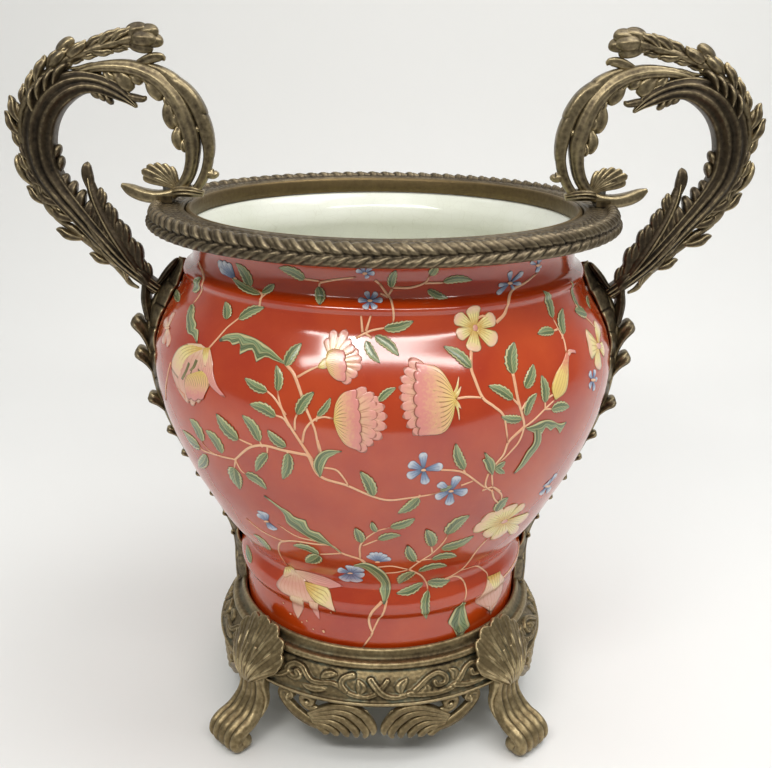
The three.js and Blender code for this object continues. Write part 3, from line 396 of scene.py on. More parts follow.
def wool_felt():
    # Thin pressed wool felt under the foot and the collar: matt, with a short tangled nap.
    material, tree = new_material("pressed_wool_felt")
    place = add(tree, "TexCoord")["Object"]
    nap = add(tree, "TexNoise", {"Vector": place, "Scale": 1000 / 1.2, "Detail": 3.0})["Fac"]
    colour = add(tree, "ValToRGB", {"Fac": nap}, [(0.3, "#2C3A2F"), (0.7, "#455547")])["Color"]
    bump = add(tree, "Bump", {"Height": nap, "Strength": 0.6, "Distance": 0.0004})["Normal"]
    finished(tree, {"Base Color": colour, "Roughness": 0.95, "Sheen Weight": 0.3, "Normal": bump})
    return material


def painted(name, root, middle, edge, outline, streaks=0.0, lines=7, veins=0.0, half_dark=0.0, haze=0.0,
            reach=1.0, pen=0.03):
    # Overglaze enamel: opaque colours painted in flat strokes on the fired glaze and fired again, with a
    # dark pen line round each petal or leaf. It reads its own map: across from 0 to 1, and root to tip.
    material, tree = new_material(name)
    coordinates = add(tree, "TexCoord")
    across, along = (add(tree, "SeparateXYZ", {0: coordinates["UV"]})[k] for k in (0, 1))
    grain = add(tree, "TexNoise",
                {"Vector": coordinates["Object"], "Scale": 1000 / 1.6, "Detail": 2.0})["Fac"]
    uneven = add(tree, "MapRange", {"Value": grain, "From Min": 0.3, "From Max": 0.7,
                                    "To Min": -0.09, "To Max": 0.09})[0]
    spot = add(tree, "Math", {0: along, 1: uneven}, operation="ADD")[0]
    tone = add(tree, "ValToRGB", {"Fac": spot}, [(0.1, root), (0.5, middle), (0.9, edge)])["Color"]
    off = add(tree, "Math", {0: across, 1: 0.5}, operation="SUBTRACT")[0]
    away = add(tree, "Math", {0: off}, operation="ABSOLUTE")[0]
    layers = []
    if half_dark:
        # One half of a leaf lies in shade.
        layers.append(("#394730", add(tree, "MapRange", {"Value": across, "From Min": 0.44, "From Max": 0.56,
                                                         "To Min": half_dark, "To Max": 0.0})[0]))
    if streaks:
        # Fine strokes run from a petal's root towards its tip.
        wave = add(tree, "Math", {0: across, 1: lines * 2 * math.pi}, operation="MULTIPLY")[0]
        wave = add(tree, "Math", {0: wave}, operation="SINE")[0]
        wave = add(tree, "MapRange", {"Value": wave, "From Min": 0.5, "From Max": 0.95, "To Max": streaks})[0]
        stop = add(tree, "MapRange", {"Value": spot, "From Min": 0.8 * reach, "From Max": reach,
                                      "To Min": 1.0, "To Max": 0.0})[0]
        layers.append((outline, add(tree, "Math", {0: wave, 1: stop}, operation="MULTIPLY")[0]))
    if veins:
        # A leaf's slanting veins, its midrib and its cream border.
        lean = add(tree, "Math", {0: along, 1: away}, operation="SUBTRACT")[0]
        wave = add(tree, "Math", {0: lean, 1: 38.0}, operation="MULTIPLY")[0]
        wave = add(tree, "Math", {0: wave}, operation="SINE")[0]
        layers += [
            (outline, add(tree, "MapRange",
                          {"Value": wave, "From Min": 0.4, "From Max": 0.9, "To Max": veins})[0]),
            ("#BDB583", add(tree, "MapRange", {"Value": away, "From Min": 0.03, "From Max": 0.06,
                                               "To Min": 0.5, "To Max": 0.0})[0]),
            ("#CFC592", add(tree, "MapRange", {"Value": away, "From Min": 0.31, "From Max": 0.36,
                                               "To Max": 0.85})[0])]
    # The pen line along both edges and round the tip.
    layers += [
        (outline, add(tree, "MapRange", {"Value": away, "From Min": 0.5 - 1.6 * pen, "From Max": 0.5 - pen,
                                         "To Max": 0.8})[0]),
        (outline, add(tree, "MapRange", {"Value": along, "From Min": 1 - 1.8 * pen, "From Max": 1 - pen,
                                         "To Max": 0.7})[0])]
    if haze:
        # The thinnest enamels let the red ground through.
        layers.append(("#B8432A", haze))
    for colour, share in layers:
        tone = add(tree, "Mix", {0: share, 6: tone, 7: colour}, data_type="RGBA")[2]
    finished(tree, {"Base Color": tone, "Roughness": 0.16, "IOR": 1.5})
    return material


red_glaze = coral_glaze()
inside_glaze = celadon_glaze()
collar_bronze = bronze("collar_bronze_grey_brown_patina", "#1D1812", "#645845", "#AE9F7E")
base_bronze = bronze("base_bronze_gold_brown_patina", "#261E15", "#7B6B4C", "#CFBC92", green=0.6, smooth=0.34)
handle_bronze = bronze("handle_bronze_dark_patina", "#120E09", "#524737", "#B6A57F", smooth=0.33)
band_brass = bronze("mouth_band_dulled_brass", "#41341F", "#6B5A3D", "#857049", smooth=0.4)
pin_brass = dull_metal("pin_brass_filed_flush", "#6F5930", "#9A8048", 0.85, 0.42)
screw_steel = dull_metal("screw_steel_oxidised", "#5C5B57", "#8C8B86", 0.9, 0.45)
lug_bronze = dull_metal("lug_bronze_unchased", "#3A3122", "#6A5C42", 0.8, 0.42)
felt = wool_felt()


def clothed(piece, *materials):
    piece.data.materials.clear()
    for material in materials:
        piece.data.materials.append(material)
    return piece


def stands_for(piece, slot, *nodes):
    """Tells the frame what the piece rides on and the solids it takes the place of. slot is not used."""
    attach(piece, "root")
    if nodes:
        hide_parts(*nodes)


# ---------------------------------------------------------------- the porcelain bowl

# Half the bowl's outline, from the foot up, read off its silhouette.
BOWL_OUTSIDE = Course([
    (94, 69), (94, 76), (94.2, 90), (94.6, 98), (97.2, 101.5), (98.2, 106), (97.6, 111), (95.4, 115.5),
    (94, 119), (95.6, 124), (99, 128.4), (107.7, 140), (115, 152), (122, 165), (128.5, 177), (134.3, 190),
    (139.6, 203), (143.6, 215), (146.8, 228), (148.4, 240), (148.7, 247), (148.2, 255), (146.8, 262),
    (143.7, 271), (139, 280), (134, 288), (130.4, 294), (128.6, 299), (127.6, 302.6), (127.9, 304.2),
    (128.4, 306), (127.4, 307.8), (124.6, 309.6), (122.6, 312), (121.7, 317), (122, 322), (124, 327),
    (128, 332.4)])
BOWL_INSIDE = [
    (124.6, 333), (121.6, 332.4), (118.4, 328), (115.4, 321), (115.2, 313), (118.4, 306), (121.6, 299),
    (124, 293), (132, 280), (139.6, 262), (141.7, 247), (139.8, 228), (132.6, 203), (121.4, 177), (108, 152),
    (92, 129), (87, 119), (86.4, 96), (84, 88), (75, 83.8), (40, 83.8), (1, 83.8)]
FOOT_UNDER = [(1, 76), (80, 76), (83, 74), (84.4, 69), (86, 67.8), (92, 67.8)]
GLAZE_EDGE = 332.2     # the red glaze ends here, at the lip
RED_SKIN = 2.4         # what lies deeper than this behind the outline has the inside's glaze


def bowl_radius(up):
    """The outside's radius at a height."""
    return np.interp(up, BOWL_OUTSIDE.points[:, 1], BOWL_OUTSIDE.points[:, 0])


def make_bowl():
    """The bowl as one thrown piece: spun, closed at its middle, and glazed in two colours."""
    section = [tuple(point) for line in (BOWL_OUTSIDE, Course(BOWL_INSIDE)) for point in line.points[::5]]
    bowl = clothed(turned("porcelain_bowl_glazed", section + FOOT_UNDER), red_glaze, inside_glaze)
    only(bowl)
    bpy.ops.object.mode_set(mode="EDIT")
    bpy.ops.mesh.select_all(action="DESELECT")
    bpy.ops.mesh.select_non_manifold()
    bpy.ops.mesh.edge_face_add()
    outward(bowl)
    for face in bowl.data.polygons:
        out = math.hypot(face.center.x, face.center.y) / MM
        up = face.center.z / MM
        face.material_index = 1 if out < bowl_radius(up) - RED_SKIN or up > GLAZE_EDGE else 0
    stands_for(bowl, "porcelain", "porcelain_bowl")


make_bowl()


# ---------------------------------------------------------------- collar, braid and mouth band

def ring_relief(name, section, turns, rows, chased, rise):
    """A ring with a chased face: rise(azimuth, out, up) lifts the section's outer side. Most of its rows
    lie on the chased stretch, which is given as two shares of the section."""
    course = Course(section, side=-1)
    low, high = chased
    plain_rows = 0.22     # the share of the rows that is left to the plain stretches
    rest = low + 1 - high

    def place(u, v):
        azimuth = 360 * u
        share = np.interp(v, [0, plain_rows * low / rest, 1 - plain_rows * (1 - high) / rest, 1],
                          [0, low, high, 1])
        out, up, n_out, n_up = course.at(share)
        lift = rise(azimuth, out, up)
        turn = np.radians(azimuth)
        reach = out + n_out * lift
        return reach * np.sin(turn), -reach * np.cos(turn), up + n_up * lift

    return formed(name, turns, rows, place)


BRAID_LEAVES = 94
BRAID_MIDDLE = (147.3, 339.4)            # where the braid's two rows meet
BRAID_UPPER, BRAID_LOWER = 9.2, 6.6      # the width of either row
COLLAR_FLAT = 134.0                      # the middle of the collar's flat top
COLLAR_DEGREE = 2.34                     # the length of one degree there


def make_collar():
    """The collar with its braid and its chased flat top, and the thin band inside its opening."""
    section = [(126, 335.4), (125.7, 339), (125.8, 343), (126.4, 344.3), (127.8, 344.5), (129, 343.6),
               (131, 343.1), (138, 343.0), (139.6, 343.4), (140.4, 344.4), (141.8, 345.4), (143.8, 345.4),
               (145.6, 344.4), (147.0, 342.6), (147.6, 340.8), (147.3, 339.4), (148.3, 338.2), (148.9, 336.4),
               (148.5, 334.6), (147.2, 333.3), (145, 333.0), (136, 334.2), (126.6, 335.2), (126, 335.4)]

    def braid_and_leaves(azimuth, out, up):
        # The braid goes round the outer side, above and below its middle.
        outer = (out > 139.8) & (up > 333.2)
        above = np.hypot(out - BRAID_MIDDLE[0], up - BRAID_MIDDLE[1])
        upper = up > BRAID_MIDDLE[1]
        rise = np.where(upper, above / BRAID_UPPER, above / BRAID_LOWER)
        # Two rows of pointed leaves that meet along the middle and all lean the same way round.
        run = azimuth * BRAID_LEAVES / 360 + np.where(upper, 0.95, 1.05) * rise + np.where(upper, 0, 0.45)
        part = run % 1.0
        swell = np.clip(part / 0.62, 0, 1) ** 0.7 * np.clip((1 - part) / 0.16, 0, 1) ** 0.5
        crease = np.exp(-((part - 0.52) / 0.055) ** 2)
        row = np.sqrt(np.clip(1 - (2 * np.clip(rise, 0, 1) - 1) ** 4, 0, 1))
        braid = outer * ((1.9 * swell - 0.5 * crease) * row - 1.2)
        # Low leaves and curls on the flat top, 7.4 and 3.7 mm long.
        top = ((up > 342.6) & (out > 128.6) & (out < 139.4)).astype(float)
        along = azimuth * COLLAR_DEGREE
        inner = np.clip(1 - np.abs(out - COLLAR_FLAT) / 5.2, 0, 1) ** 0.4
        leaf = np.sin(along * 2 * np.pi / 7.4 + 4.4 * np.sin((out - COLLAR_FLAT) * 0.55))
        curl = np.sin(along * 2 * np.pi / 3.7 + (out - COLLAR_FLAT) * 1.3)
        return braid + top * inner * (0.42 * leaf + 0.2 * curl)

    ring = ring_relief("collar_chased", section, turns=BRAID_LEAVES * 16, rows=60, chased=(0.18, 0.70),
                       rise=braid_and_leaves)
    stands_for(rubbed(clothed(ring, collar_bronze), gain=0.7, passes=2), "collar_bronze", "collar")

    band = turned("mouth_band_rolled", [
        (121.9, 333.6), (121.6, 338), (121.7, 342.0), (122.1, 343.4), (123.1, 344.0), (124.3, 343.6),
        (124.8, 342.2), (124.4, 338), (124.2, 333.6), (122.9, 333.3)])
    stands_for(rubbed(clothed(band, band_brass)), "band_brass", "mouth_band")


make_collar()


# ---------------------------------------------------------------- base ring and its vine frieze

def near_line(x, y, points):
    """Distance of each (x, y) to the smooth line through the points, and how far along it is nearest."""
    line = Course(points)
    best = np.full(x.shape, np.inf)
    share = np.zeros(x.shape)
    step = 5     # the line's fine points are taken five at a time, to save time
    for i in range(0, len(line.points) - step, step):
        a, b = line.points[i], line.points[min(i + step, len(line.points) - 1)]
        span = b - a
        t = np.clip(((x - a[0]) * span[0] + (y - a[1]) * span[1]) / (span @ span + 1e-9), 0, 1)
        gap = np.hypot(x - a[0] - t * span[0], y - a[1] - t * span[1])
        closer = gap < best
        best = np.where(closer, gap, best)
        share = np.where(closer, line.share[i] + t * (line.share[i + step] - line.share[i]), share)
    return best, share


def raised(gap, half, height):
    """A rounded ridge, half wide on either side of its line."""
    return height * np.sqrt(np.clip(1 - (gap / half) ** 2, 0, 1))


FRIEZE_FOOT, FRIEZE_TOP = 49.8, 65.4     # the heights between which the frieze's face lies
FRIEZE_FACE = 18.6                       # its length up the curve
BAY, BAY_LENGTH = 90, 128                # a bay in degrees, and the length that its vine is drawn at

# The vine's stems and leaves, from the middle of a bay: along the ring, and up the face.
VINE = [
    [(-41, 11.6), (-39.2, 9.4), (-41.6, 7.4), (-45.4, 8.8), (-46.6, 12.4), (-43.4, 15.6), (-38.6, 15),
     (-35.6, 11.6), (-32.6, 8.8), (-28, 8.6), (-23, 9.8), (-18.6, 8.4), (-14, 4.8), (-7, 2.8), (-1.6, 5.2),
     (1.6, 9.8), (4, 14)],
    [(-13, 16), (-17, 13.8), (-17.8, 9.8), (-14.6, 5.6)],
    [(-46.2, 9.4), (-50.4, 5.6), (-55.6, 4.8), (-60, 7.8), (-61, 12.4), (-57.6, 14.8), (-54.6, 12.4)],
    [(-4, 14), (-1.6, 9.8), (1.6, 5.2), (7, 2.8), (14, 4.8), (18.6, 8.8), (23.4, 13.4), (28.6, 15.4),
     (32.4, 12.6), (31.6, 8.6), (27.6, 8), (26.6, 10.8)],
    [(14, 4.8), (21, 3.4), (28, 3), (34.6, 4.4), (39.6, 9), (43.4, 13.8), (48.6, 15.4), (52, 12.4),
     (50.6, 8.6), (46.8, 8.8), (46.6, 11.4)],
    [(36.6, 5.6), (43, 3.4), (50, 3.2), (57, 5.6), (61.6, 10.4)]]
VINE_LEAVES = [
    [(-37, 5.2), (-31.6, 3.6), (-24.6, 5.2)], [(-28, 11.6), (-25, 14.8), (-20.6, 15.4)],
    [(-9.4, 4.4), (-8.2, 9), (-10, 13.6)], [(-51.6, 13.8), (-49.6, 10.4), (-51.4, 7.6)],
    [(10, 5), (10, 10), (13.4, 14.6)], [(18, 3.4), (22.4, 6), (22, 9.6)], [(36, 9), (37.6, 13), (35, 15.8)],
    [(55, 7.6), (57, 11), (55.6, 15)], [(-62, 3.4), (-58, 2.6), (-53, 2.6)]]


def make_base_ring():
    """The moulding round the bowl's foot, with the vine frieze under it."""
    outline = [(95.4, 66.5), (95.2, 72), (95.3, 76.4), (96.3, 77.9), (97.8, 77.6), (98.8, 76.1), (99.4, 73.8),
               (100.6, 72.2), (102.2, 71.9), (104, 71.6), (105.2, 70.2), (105.2, 68.4), (104, 67.2),
               (103.2, 66.2), (104.6, 65), (107.4, 61.6), (109.9, 57.6), (111.8, 53.6), (112.8, 50.4),
               (113.6, 49.6), (114.9, 48.8), (115, 47.4), (113.8, 46.5), (110, 46.4), (105.4, 46.5),
               (105.1, 52), (105, 57), (103, 60.4), (98, 61.6), (88, 61.7), (85.4, 62), (85.2, 64),
               (85.6, 65.8), (90, 66), (95.2, 66.1), (95.4, 66.5)]

    def vine(azimuth, out, up):
        # Every second bay has the vine the other way round.
        bay = np.round(azimuth / BAY)
        x = (azimuth - bay * BAY) / BAY * BAY_LENGTH * (1 - bay % 2 * 2)
        y = np.clip((up - FRIEZE_FOOT) / (FRIEZE_TOP - FRIEZE_FOOT), -1, 2) * FRIEZE_FACE
        face = ((out > 103.0) & (up > 49.4) & (up < 66)).astype(float)
        height = np.zeros(x.shape)
        for points in VINE_LEAVES:
            gap, share = near_line(x, y, points)
            half = 2.7 * np.sin(np.pi * np.clip(share, 0.02, 1)) ** 0.6
            vein = 0.7 * np.exp(-(gap / 0.4) ** 2) * (gap < half)
            height = np.maximum(height, raised(gap, half + 0.01, 1.8) - vein)
        for points in VINE:
            gap, share = near_line(x, y, points)
            half = 2.05 - 0.65 * share
            # The stem is a ribbon with rolled edges: two ridges and a groove between them.
            stem = raised(gap, half, 2.8) - 1.0 * np.exp(-(gap / (0.3 * half)) ** 2)
            height = np.where(gap < half, np.maximum(stem, 0.4 * height), height)
        # The cast ground between the leaves is never quite even.
        ground = 0.04 * (np.sin(1.7 * x + 1.3 * y) + np.sin(2.3 * y - 1.1 * x + 2 * np.sin(0.7 * x)))
        return face * (height + ground - 0.5)

    ring = ring_relief("base_ring_chased", outline, turns=1180, rows=82, chased=(0.08, 0.47), rise=vine)
    stands_for(rubbed(clothed(ring, base_bronze), gain=0.95), "base_bronze", "base_ring")


make_base_ring()


# ---------------------------------------------------------------- legs

OVER_FLOOR = 0.05     # the toes end this far above the floor
LEG_ROOT = 50.4       # the height where the leaf springs from the shank


def make_leg():
    """One leg, pointing along +X: a fluted shank that rolls into a knuckled toe, under a broad leaf."""
    shank = Course([(109, 66), (111.4, 60), (112.4, 54), (112.2, 46), (112.2, 38), (114.6, 29.4),
                    (119.8, 22.4), (125.6, 18), (131.2, 15.8), (135.8, 12.8), (137.2, 8.6), (134.8, 5.2),
                    (130, 4.4), (125, 5.2)], side=-1)
    wide = through((0, 9.6), (0.15, 11), (0.3, 11.6), (0.45, 12.8), (0.62, 14.6), (0.76, 15.4), (0.9, 14.8),
                   (1, 12))
    thick = through((0, 6), (0.1, 7.2), (0.25, 6.8), (0.45, 6.0), (0.62, 5.6), (0.75, 5.6), (0.9, 5.2),
                    (1, 3.0))

    around, along = 84, 130

    def place(u, v):
        turn = 2 * math.pi * u
        side, face = np.cos(turn), np.sin(turn)
        side = np.sign(side) * np.abs(side) ** 0.8
        lower = np.clip((v - 0.5) * 3, 0, 1)     # grows from the shank's middle to the toe
        # Five ribs, cut deeper towards the toe.
        rib = np.abs(np.sin(math.pi * 2.5 * (side + 1))) ** 0.6
        cut = 0.34 + 0.22 * lower
        depth = np.where(face > 0, np.abs(face) ** 0.4 * (1 - cut * (1 - rib)), -0.8 * np.abs(face) ** 0.5)
        # The knuckles of the toe end one behind another, the middle one furthest forward.
        share = v - 0.03 * np.abs(side) ** 2 * lower
        out, up, n_out, n_up = shank.at(share)
        closed = np.clip(np.minimum(v, 1 - v) * along, 0, 1)
        lift = depth * thick(v) * closed
        return out + n_out * lift, side * wide(v) * closed, np.maximum(up + n_up * lift, OVER_FLOOR)

    parts = [formed("leg_shank", around, along, place)]
    for side in (-1, 1):
        # A slim scroll down either flank, from a bud below the frieze.
        points = [(110, 50), (113.6, 46.4), (113.4, 40), (112.6, 33), (114, 26.4), (118.4, 20)]
        sizes = [through((0, 2), (0.2, broad), (0.6, slim), (1, 0.8))
                 for broad, slim in ((2.6, 2.0), (3.4, 2.2), (3.0, 2.2))]
        flank = frond("leg_flank", Course(points, side=-1), *sizes, flutes=1, groove=0.2, around=22, along=50)
        shifted = points_of(flank)
        shifted[:, 1] += side * np.interp(shifted[:, 2], [20, 33, 50], [12.8, 12.6, 11.2])
        set_points(flank, shifted)
        parts.append(flank)

    # The toe rolls up round a solid core, whose round ends show at either side.
    core_out, core_up, core_half, core_deep, core_high = 130.2, 7.0, 15.0, 5.4, 5.6

    def core(u, v):
        turn, end = 2 * math.pi * u, 2 * v - 1
        round_end = np.sqrt(np.clip(1 - end ** 8, 0, 1))
        return (core_out + core_deep * np.cos(turn) * round_end, core_half * end,
                core_up + core_high * np.sin(turn) * round_end)

    parts.append(formed("toe_core", 28, 20, core))

    # The leaf leans in from the knee of the shank to the top of the ring; its edges fall back to the ring.
    front = through((36, 114.6), (42, 118), (48, 120.4), (54, 120.4), (60, 118), (66, 114), (72, 109.6),
                    (78, 105), (84, 101), (92, 98.6))
    ring = through((30, 115.4), (42, 115), (52, 113.6), (57, 111.8), (61.6, 109.6), (67.6, 107), (71, 105.6),
                   (78, 101), (84, 97.4), (92, 95))
    origin, tall, spread, squeeze = 41.0, 43.0, 1.02, 0.95
    veins = np.array([-0.86, -0.57, -0.29, 0.0, 0.29, 0.57, 0.86])

    def leaf(u, v):
        side = 2 * u - 1
        # Seven scallops on the edge, each with a vein that forks towards it and hollows between.
        seven = math.pi * 3.5 * (side + 1.0)
        notch = 1 - np.abs(np.sin(seven)) ** 0.7
        reach = tall * (1 - 0.30 * np.abs(side) ** 2.4) * (1 - 0.07 * notch * np.clip(v * 2 - 1, 0, 1))
        ray = 2.0 + (reach - 2.0) * v
        across = ray * np.sin(side * spread) * squeeze
        up = origin + ray * np.cos(side * spread)
        gap = np.full(side.shape, np.inf)
        fork = 0.12 * np.clip(v - 0.42, 0, 1)
        for centre in veins:
            gap = np.minimum(gap, np.abs(np.abs(side - centre) - fork) * spread * ray * squeeze)
        ridge = 0.75 * np.exp(-(gap / 0.55) ** 2) * np.clip(v * 3, 0, 1)
        hollow = 0.45 * np.cos(seven) * v
        bent = front(up) - 0.016 * across ** 2
        behind = np.sqrt(np.maximum(ring(up) ** 2 - across ** 2, 1)) + 1.4
        # Whichever lies further out of the two, with a soft change between them.
        soft = 0.5 * (bent + behind + np.sqrt((bent - behind) ** 2 + 3.0))
        return soft + ridge - hollow + 0.9 * np.clip(v - 0.8, 0, 1), across, up

    parts.append(formed("leg_leaf", 120, 48, leaf, thickness=2.2))
    for side in (-1, 1):
        # Small rolled lobes where the leaf springs from the shank.
        for out, up, size in ((116.6, LEG_ROOT, 3.2), (114.4, 46.8, 2.6)):
            edge = through((0, 1), (0.5, size * 0.62), (1, 0.6))
            part = frond("leg_lobe", Course([(out - 3, up - 2), (out, up), (out - 0.6, up + size)], side=-1),
                         edge, edge, through((0, 1), (0.5, size), (1, 0.6)), flutes=1, groove=0.2,
                         around=18, along=18)
            shifted = points_of(part)
            shifted[:, 1] += side * (9.4 + 0.5 * (LEG_ROOT - up))
            set_points(part, shifted)
            parts.append(part)
    return joined("leg_cast", parts)


LEG_AZIMUTHS = (-43, 43, 137, 223)


def place_legs():
    """Four copies of one leg, between the aprons."""
    leg = rubbed(clothed(make_leg(), base_bronze), gain=0.8, middle=0.55)
    for number, azimuth in enumerate(LEG_AZIMUTHS, start=1):
        one = turned_to(copied(leg), azimuth)
        one.name = one.data.name = f"leg_cast_{number}"
        stands_for(one, "base_bronze", f"leg_{number}")
    bpy.data.objects.remove(leg)


place_legs()


# ---------------------------------------------------------------- pierced aprons

APRON_BEND = 110.0     # the radius that an apron's length is drawn at
APRON_FACE = 110.6     # the radius of its face at its top, from which it leans in as it goes down
APRON_TOP, APRON_LEAN = 46, 0.075
APRON_DRAWN = 70.0     # half the length that the leaf below is drawn at, before it is stretched to fit


def on_panel(piece):
    """Bends a flat casting, drawn as along the ring and up, round the ring's lower edge."""
    flat = points_of(piece)
    turn = flat[:, 0] / APRON_BEND
    reach = APRON_FACE - APRON_LEAN * np.clip(APRON_TOP - flat[:, 2], 0, 40) - flat[:, 1]
    set_points(piece, np.stack([reach * np.sin(turn), -reach * np.cos(turn), flat[:, 2]], axis=1))
    return outward(piece)


def make_apron(half):
    """Half an apron on its right side, half long: a leaf that springs from a scroll beside the leg."""
    stretch = half / APRON_DRAWN
    parts = []

    def rail(name, points, width, depth, flutes, groove, along, around=26):
        course = Course([(x * stretch, z) for x, z in points])
        parts.append(frond(name, course, width, width, depth, flutes=flutes, groove=groove, around=around,
                           along=along))

    # The leaf's six flutes, from the longest to the one beside the leg, each with its width.
    tips = [
        ([(48, 31), (38, 38), (28, 42.6), (18, 42.8), (10.4, 38.6), (5.8, 32), (3.4, 26), (4.4, 21.2)], 2.5),
        ([(47, 30), (38, 35), (29, 38.4), (20.6, 38.2), (14.4, 34), (10, 28.4), (8.2, 23), (10, 18.8)], 2.4),
        ([(46, 28.8), (38, 32), (30.4, 34.2), (23.6, 33), (18.4, 29), (15, 24), (14.8, 18.6)], 2.4),
        ([(45, 27.4), (38, 29.2), (31.4, 29.8), (26, 27.6), (22, 23.4), (20.4, 18.4)], 2.3),
        ([(44.4, 26.2), (38, 26.2), (33, 25.2), (29, 22.2), (27, 18.2)], 2.2),
        ([(44, 25), (39.4, 23.2), (35.6, 21), (33.6, 18.2)], 2.1)]
    for points, wide in tips:
        rail("flute", points, through((0, wide * 0.55), (0.5, wide), (0.85, wide * 1.2), (1, 0.9)),
             through((0, 2.8), (0.5, 3.6), (0.85, 3.0), (1, 1.0)), flutes=1, groove=0.12, along=48)
    stem = [(26, 26), (34, 24.2), (42, 24.6), (50, 26.8), (57, 30.2), (63, 34.8), (66.4, 39.4), (65.8, 43.6),
            (62, 45.4), (59.4, 42.8), (60.6, 40.4)]
    rail("stem", stem, through((0, 0.8), (0.2, 3.0), (0.5, 4.2), (0.75, 3.5), (0.9, 2.9), (1, 2.0)),
         through((0, 1), (0.2, 3.0), (0.6, 3.6), (0.9, 4.2), (1, 4.4)), flutes=2, groove=0.28, along=110)
    rail("knob", [(58.4, 41.6), (60.4, 41.8), (62.6, 42)], through((0, 2), (0.5, 3.8), (1, 2)),
         through((0, 3), (0.5, 5.6), (1, 3)), flutes=0, groove=0, along=14, around=22)
    volute = [(37, 36), (42, 37.4), (46.4, 36.4), (50.4, 38.6), (51.2, 43), (47.6, 45.4), (43.8, 43.6),
              (44.4, 40.4), (47.2, 40.2), (47.8, 42)]
    rail("volute", volute, through((0, 1.2), (0.3, 2.2), (0.8, 2.0), (1, 1.7)),
         through((0, 1.6), (0.5, 2.6), (1, 3.2)), flutes=0, groove=0, along=80)
    rail("web", [(5, 36), (16, 34), (30, 30.6), (43, 28)], through((0, 5), (0.3, 8), (0.7, 6), (1, 3)),
         through((0, 1.0), (0.5, 1.3), (1, 1.2)), flutes=0, groove=0, along=30)
    return joined("apron_half", parts)


SIDE_HALF, FRONT_HALF = 62.0, 69.0


def place_aprons():
    """Two lengths of apron, each cast as a leaf and its mirror image, and each used twice."""
    for half, names in ((SIDE_HALF, (("side_apron_1", 90), ("side_apron_2", -90))),
                        (FRONT_HALF, (("front_apron_1", 0), ("front_apron_2", 180)))):
        right = make_apron(half)
        left = copied(right, Matrix.Scale(-1, 4, (1, 0, 0)))
        left.data.flip_normals()
        apron = rubbed(clothed(on_panel(joined("apron_cast", [right, left])), base_bronze), gain=0.6)
        for node, azimuth in names:
            one = turned_to(copied(apron), azimuth)
            one.name = one.data.name = node.replace("apron", "apron_cast")
            stands_for(one, "base_bronze", node)
        bpy.data.objects.remove(apron)


place_aprons()


# ---------------------------------------------------------------- straps

def make_strap():
    """The leaf strap up the side of the bowl, in the upright plane through +X."""
    outer = Course([(101.2, 73), (101.6, 82), (101.8, 93), (102.0, 105), (104.8, 117), (109.6, 128.2),
                    (115.2, 139), (121.2, 149.8), (127.2, 160.2), (133, 170.8), (138.3, 181.6),
                    (143.1, 192.6), (147.2, 203.6), (150.6, 214.8), (153, 226.4), (154.4, 238), (154.8, 250),
                    (154.2, 261.6), (152.2, 272.6), (147.4, 283), (140.4, 292.4), (134.2, 300.6),
                    (130.2, 307.6)], side=1)
    # Drawn once more through points of that line, which evens out its bends.
    outer = Course(outer.points[::14], side=1)
    spine = frond("strap_spine", outer, through((0, 1.5), (0.2, 2.2), (0.8, 2.6), (1, 1)),
                  through((0, 1.0), (0.3, 1.4), (0.8, 1.8), (1, 0.6)),
                  through((0, 2), (0.3, 3), (0.8, 4.4), (1, 2)), flutes=1, groove=0.1, around=24, along=160)

    def drop(v):
        """The leaf's edges come down to the bowl, so that the strap hugs it."""
        out, up, n_out, _ = outer.at(v)
        return np.clip((out - bowl_radius(up)) * np.abs(n_out) - 0.6, 2.4, 9.0)

    leaf = blade("strap_leaf", outer,
                 through((0, 6.4), (0.15, 8), (0.4, 9.8), (0.65, 12), (0.8, 13), (0.9, 12.4), (0.96, 10),
                         (1, 2.4)),
                 drop, lobes=14, notch=0.34, slant=0.03, relief=1.1, rise=0.2, thickness=1.8, across=36,
                 along=300)
    parts = [spine, leaf]
    # The side leaves that turn outward like petals: where each lies on the strap, how far it reaches out, its
    # height, and the breadth that its widths are shares of.
    for share, reach, tall, wide in ((0.802, 12.4, 22, 5.4), (0.722, 10.8, 18, 5.0), (0.60, 8.8, 16, 4.4),
                                     (0.50, 6.2, 12, 2.8), (0.425, 5.2, 10, 2.4), (0.355, 4.6, 9, 2.2),
                                     (0.285, 4.2, 8, 2.0), (0.215, 3.8, 8, 1.9), (0.15, 3.6, 7, 1.8)):
        path = beside(outer, share, *((a * reach, b * tall) for a, b in (
            (-0.1, -1.0), (0.06, -0.62), (0.34, -0.28), (0.74, -0.03), (1.0, 0.06))))
        parts.append(frond(
            "turned_leaf", Course(path, side=1),
            through((0, 0.8), (0.4, wide * 0.55), (0.75, wide * 0.9), (0.93, wide * 0.9), (1, wide * 0.4)),
            through((0, 0.8), (0.4, wide * 0.5), (0.75, wide * 0.75), (0.93, wide * 0.7), (1, wide * 0.3)),
            through((0, 2), (0.4, wide * 1.3), (0.8, wide * 2.0), (1, wide * 1.2)),
            flutes=2, groove=0.3, around=28, along=30, keel=0.9))
    return joined("strap_cast_right", parts)


# ---------------------------------------------------------------- handles

ARM = Course([(146.3, 286), (155, 292.3), (163.3, 299), (171.3, 306.4), (178.6, 314.6), (186, 323.4),
              (193.4, 332.6), (200.6, 341.8), (207.4, 351), (213, 361), (215.8, 372), (216, 384),
              (213, 395.4), (206.8, 405.4), (198, 412.6), (188, 416.2), (178, 415.8), (168.6, 412.4),
              (160.4, 407.4), (153.6, 401.2)], side=1)


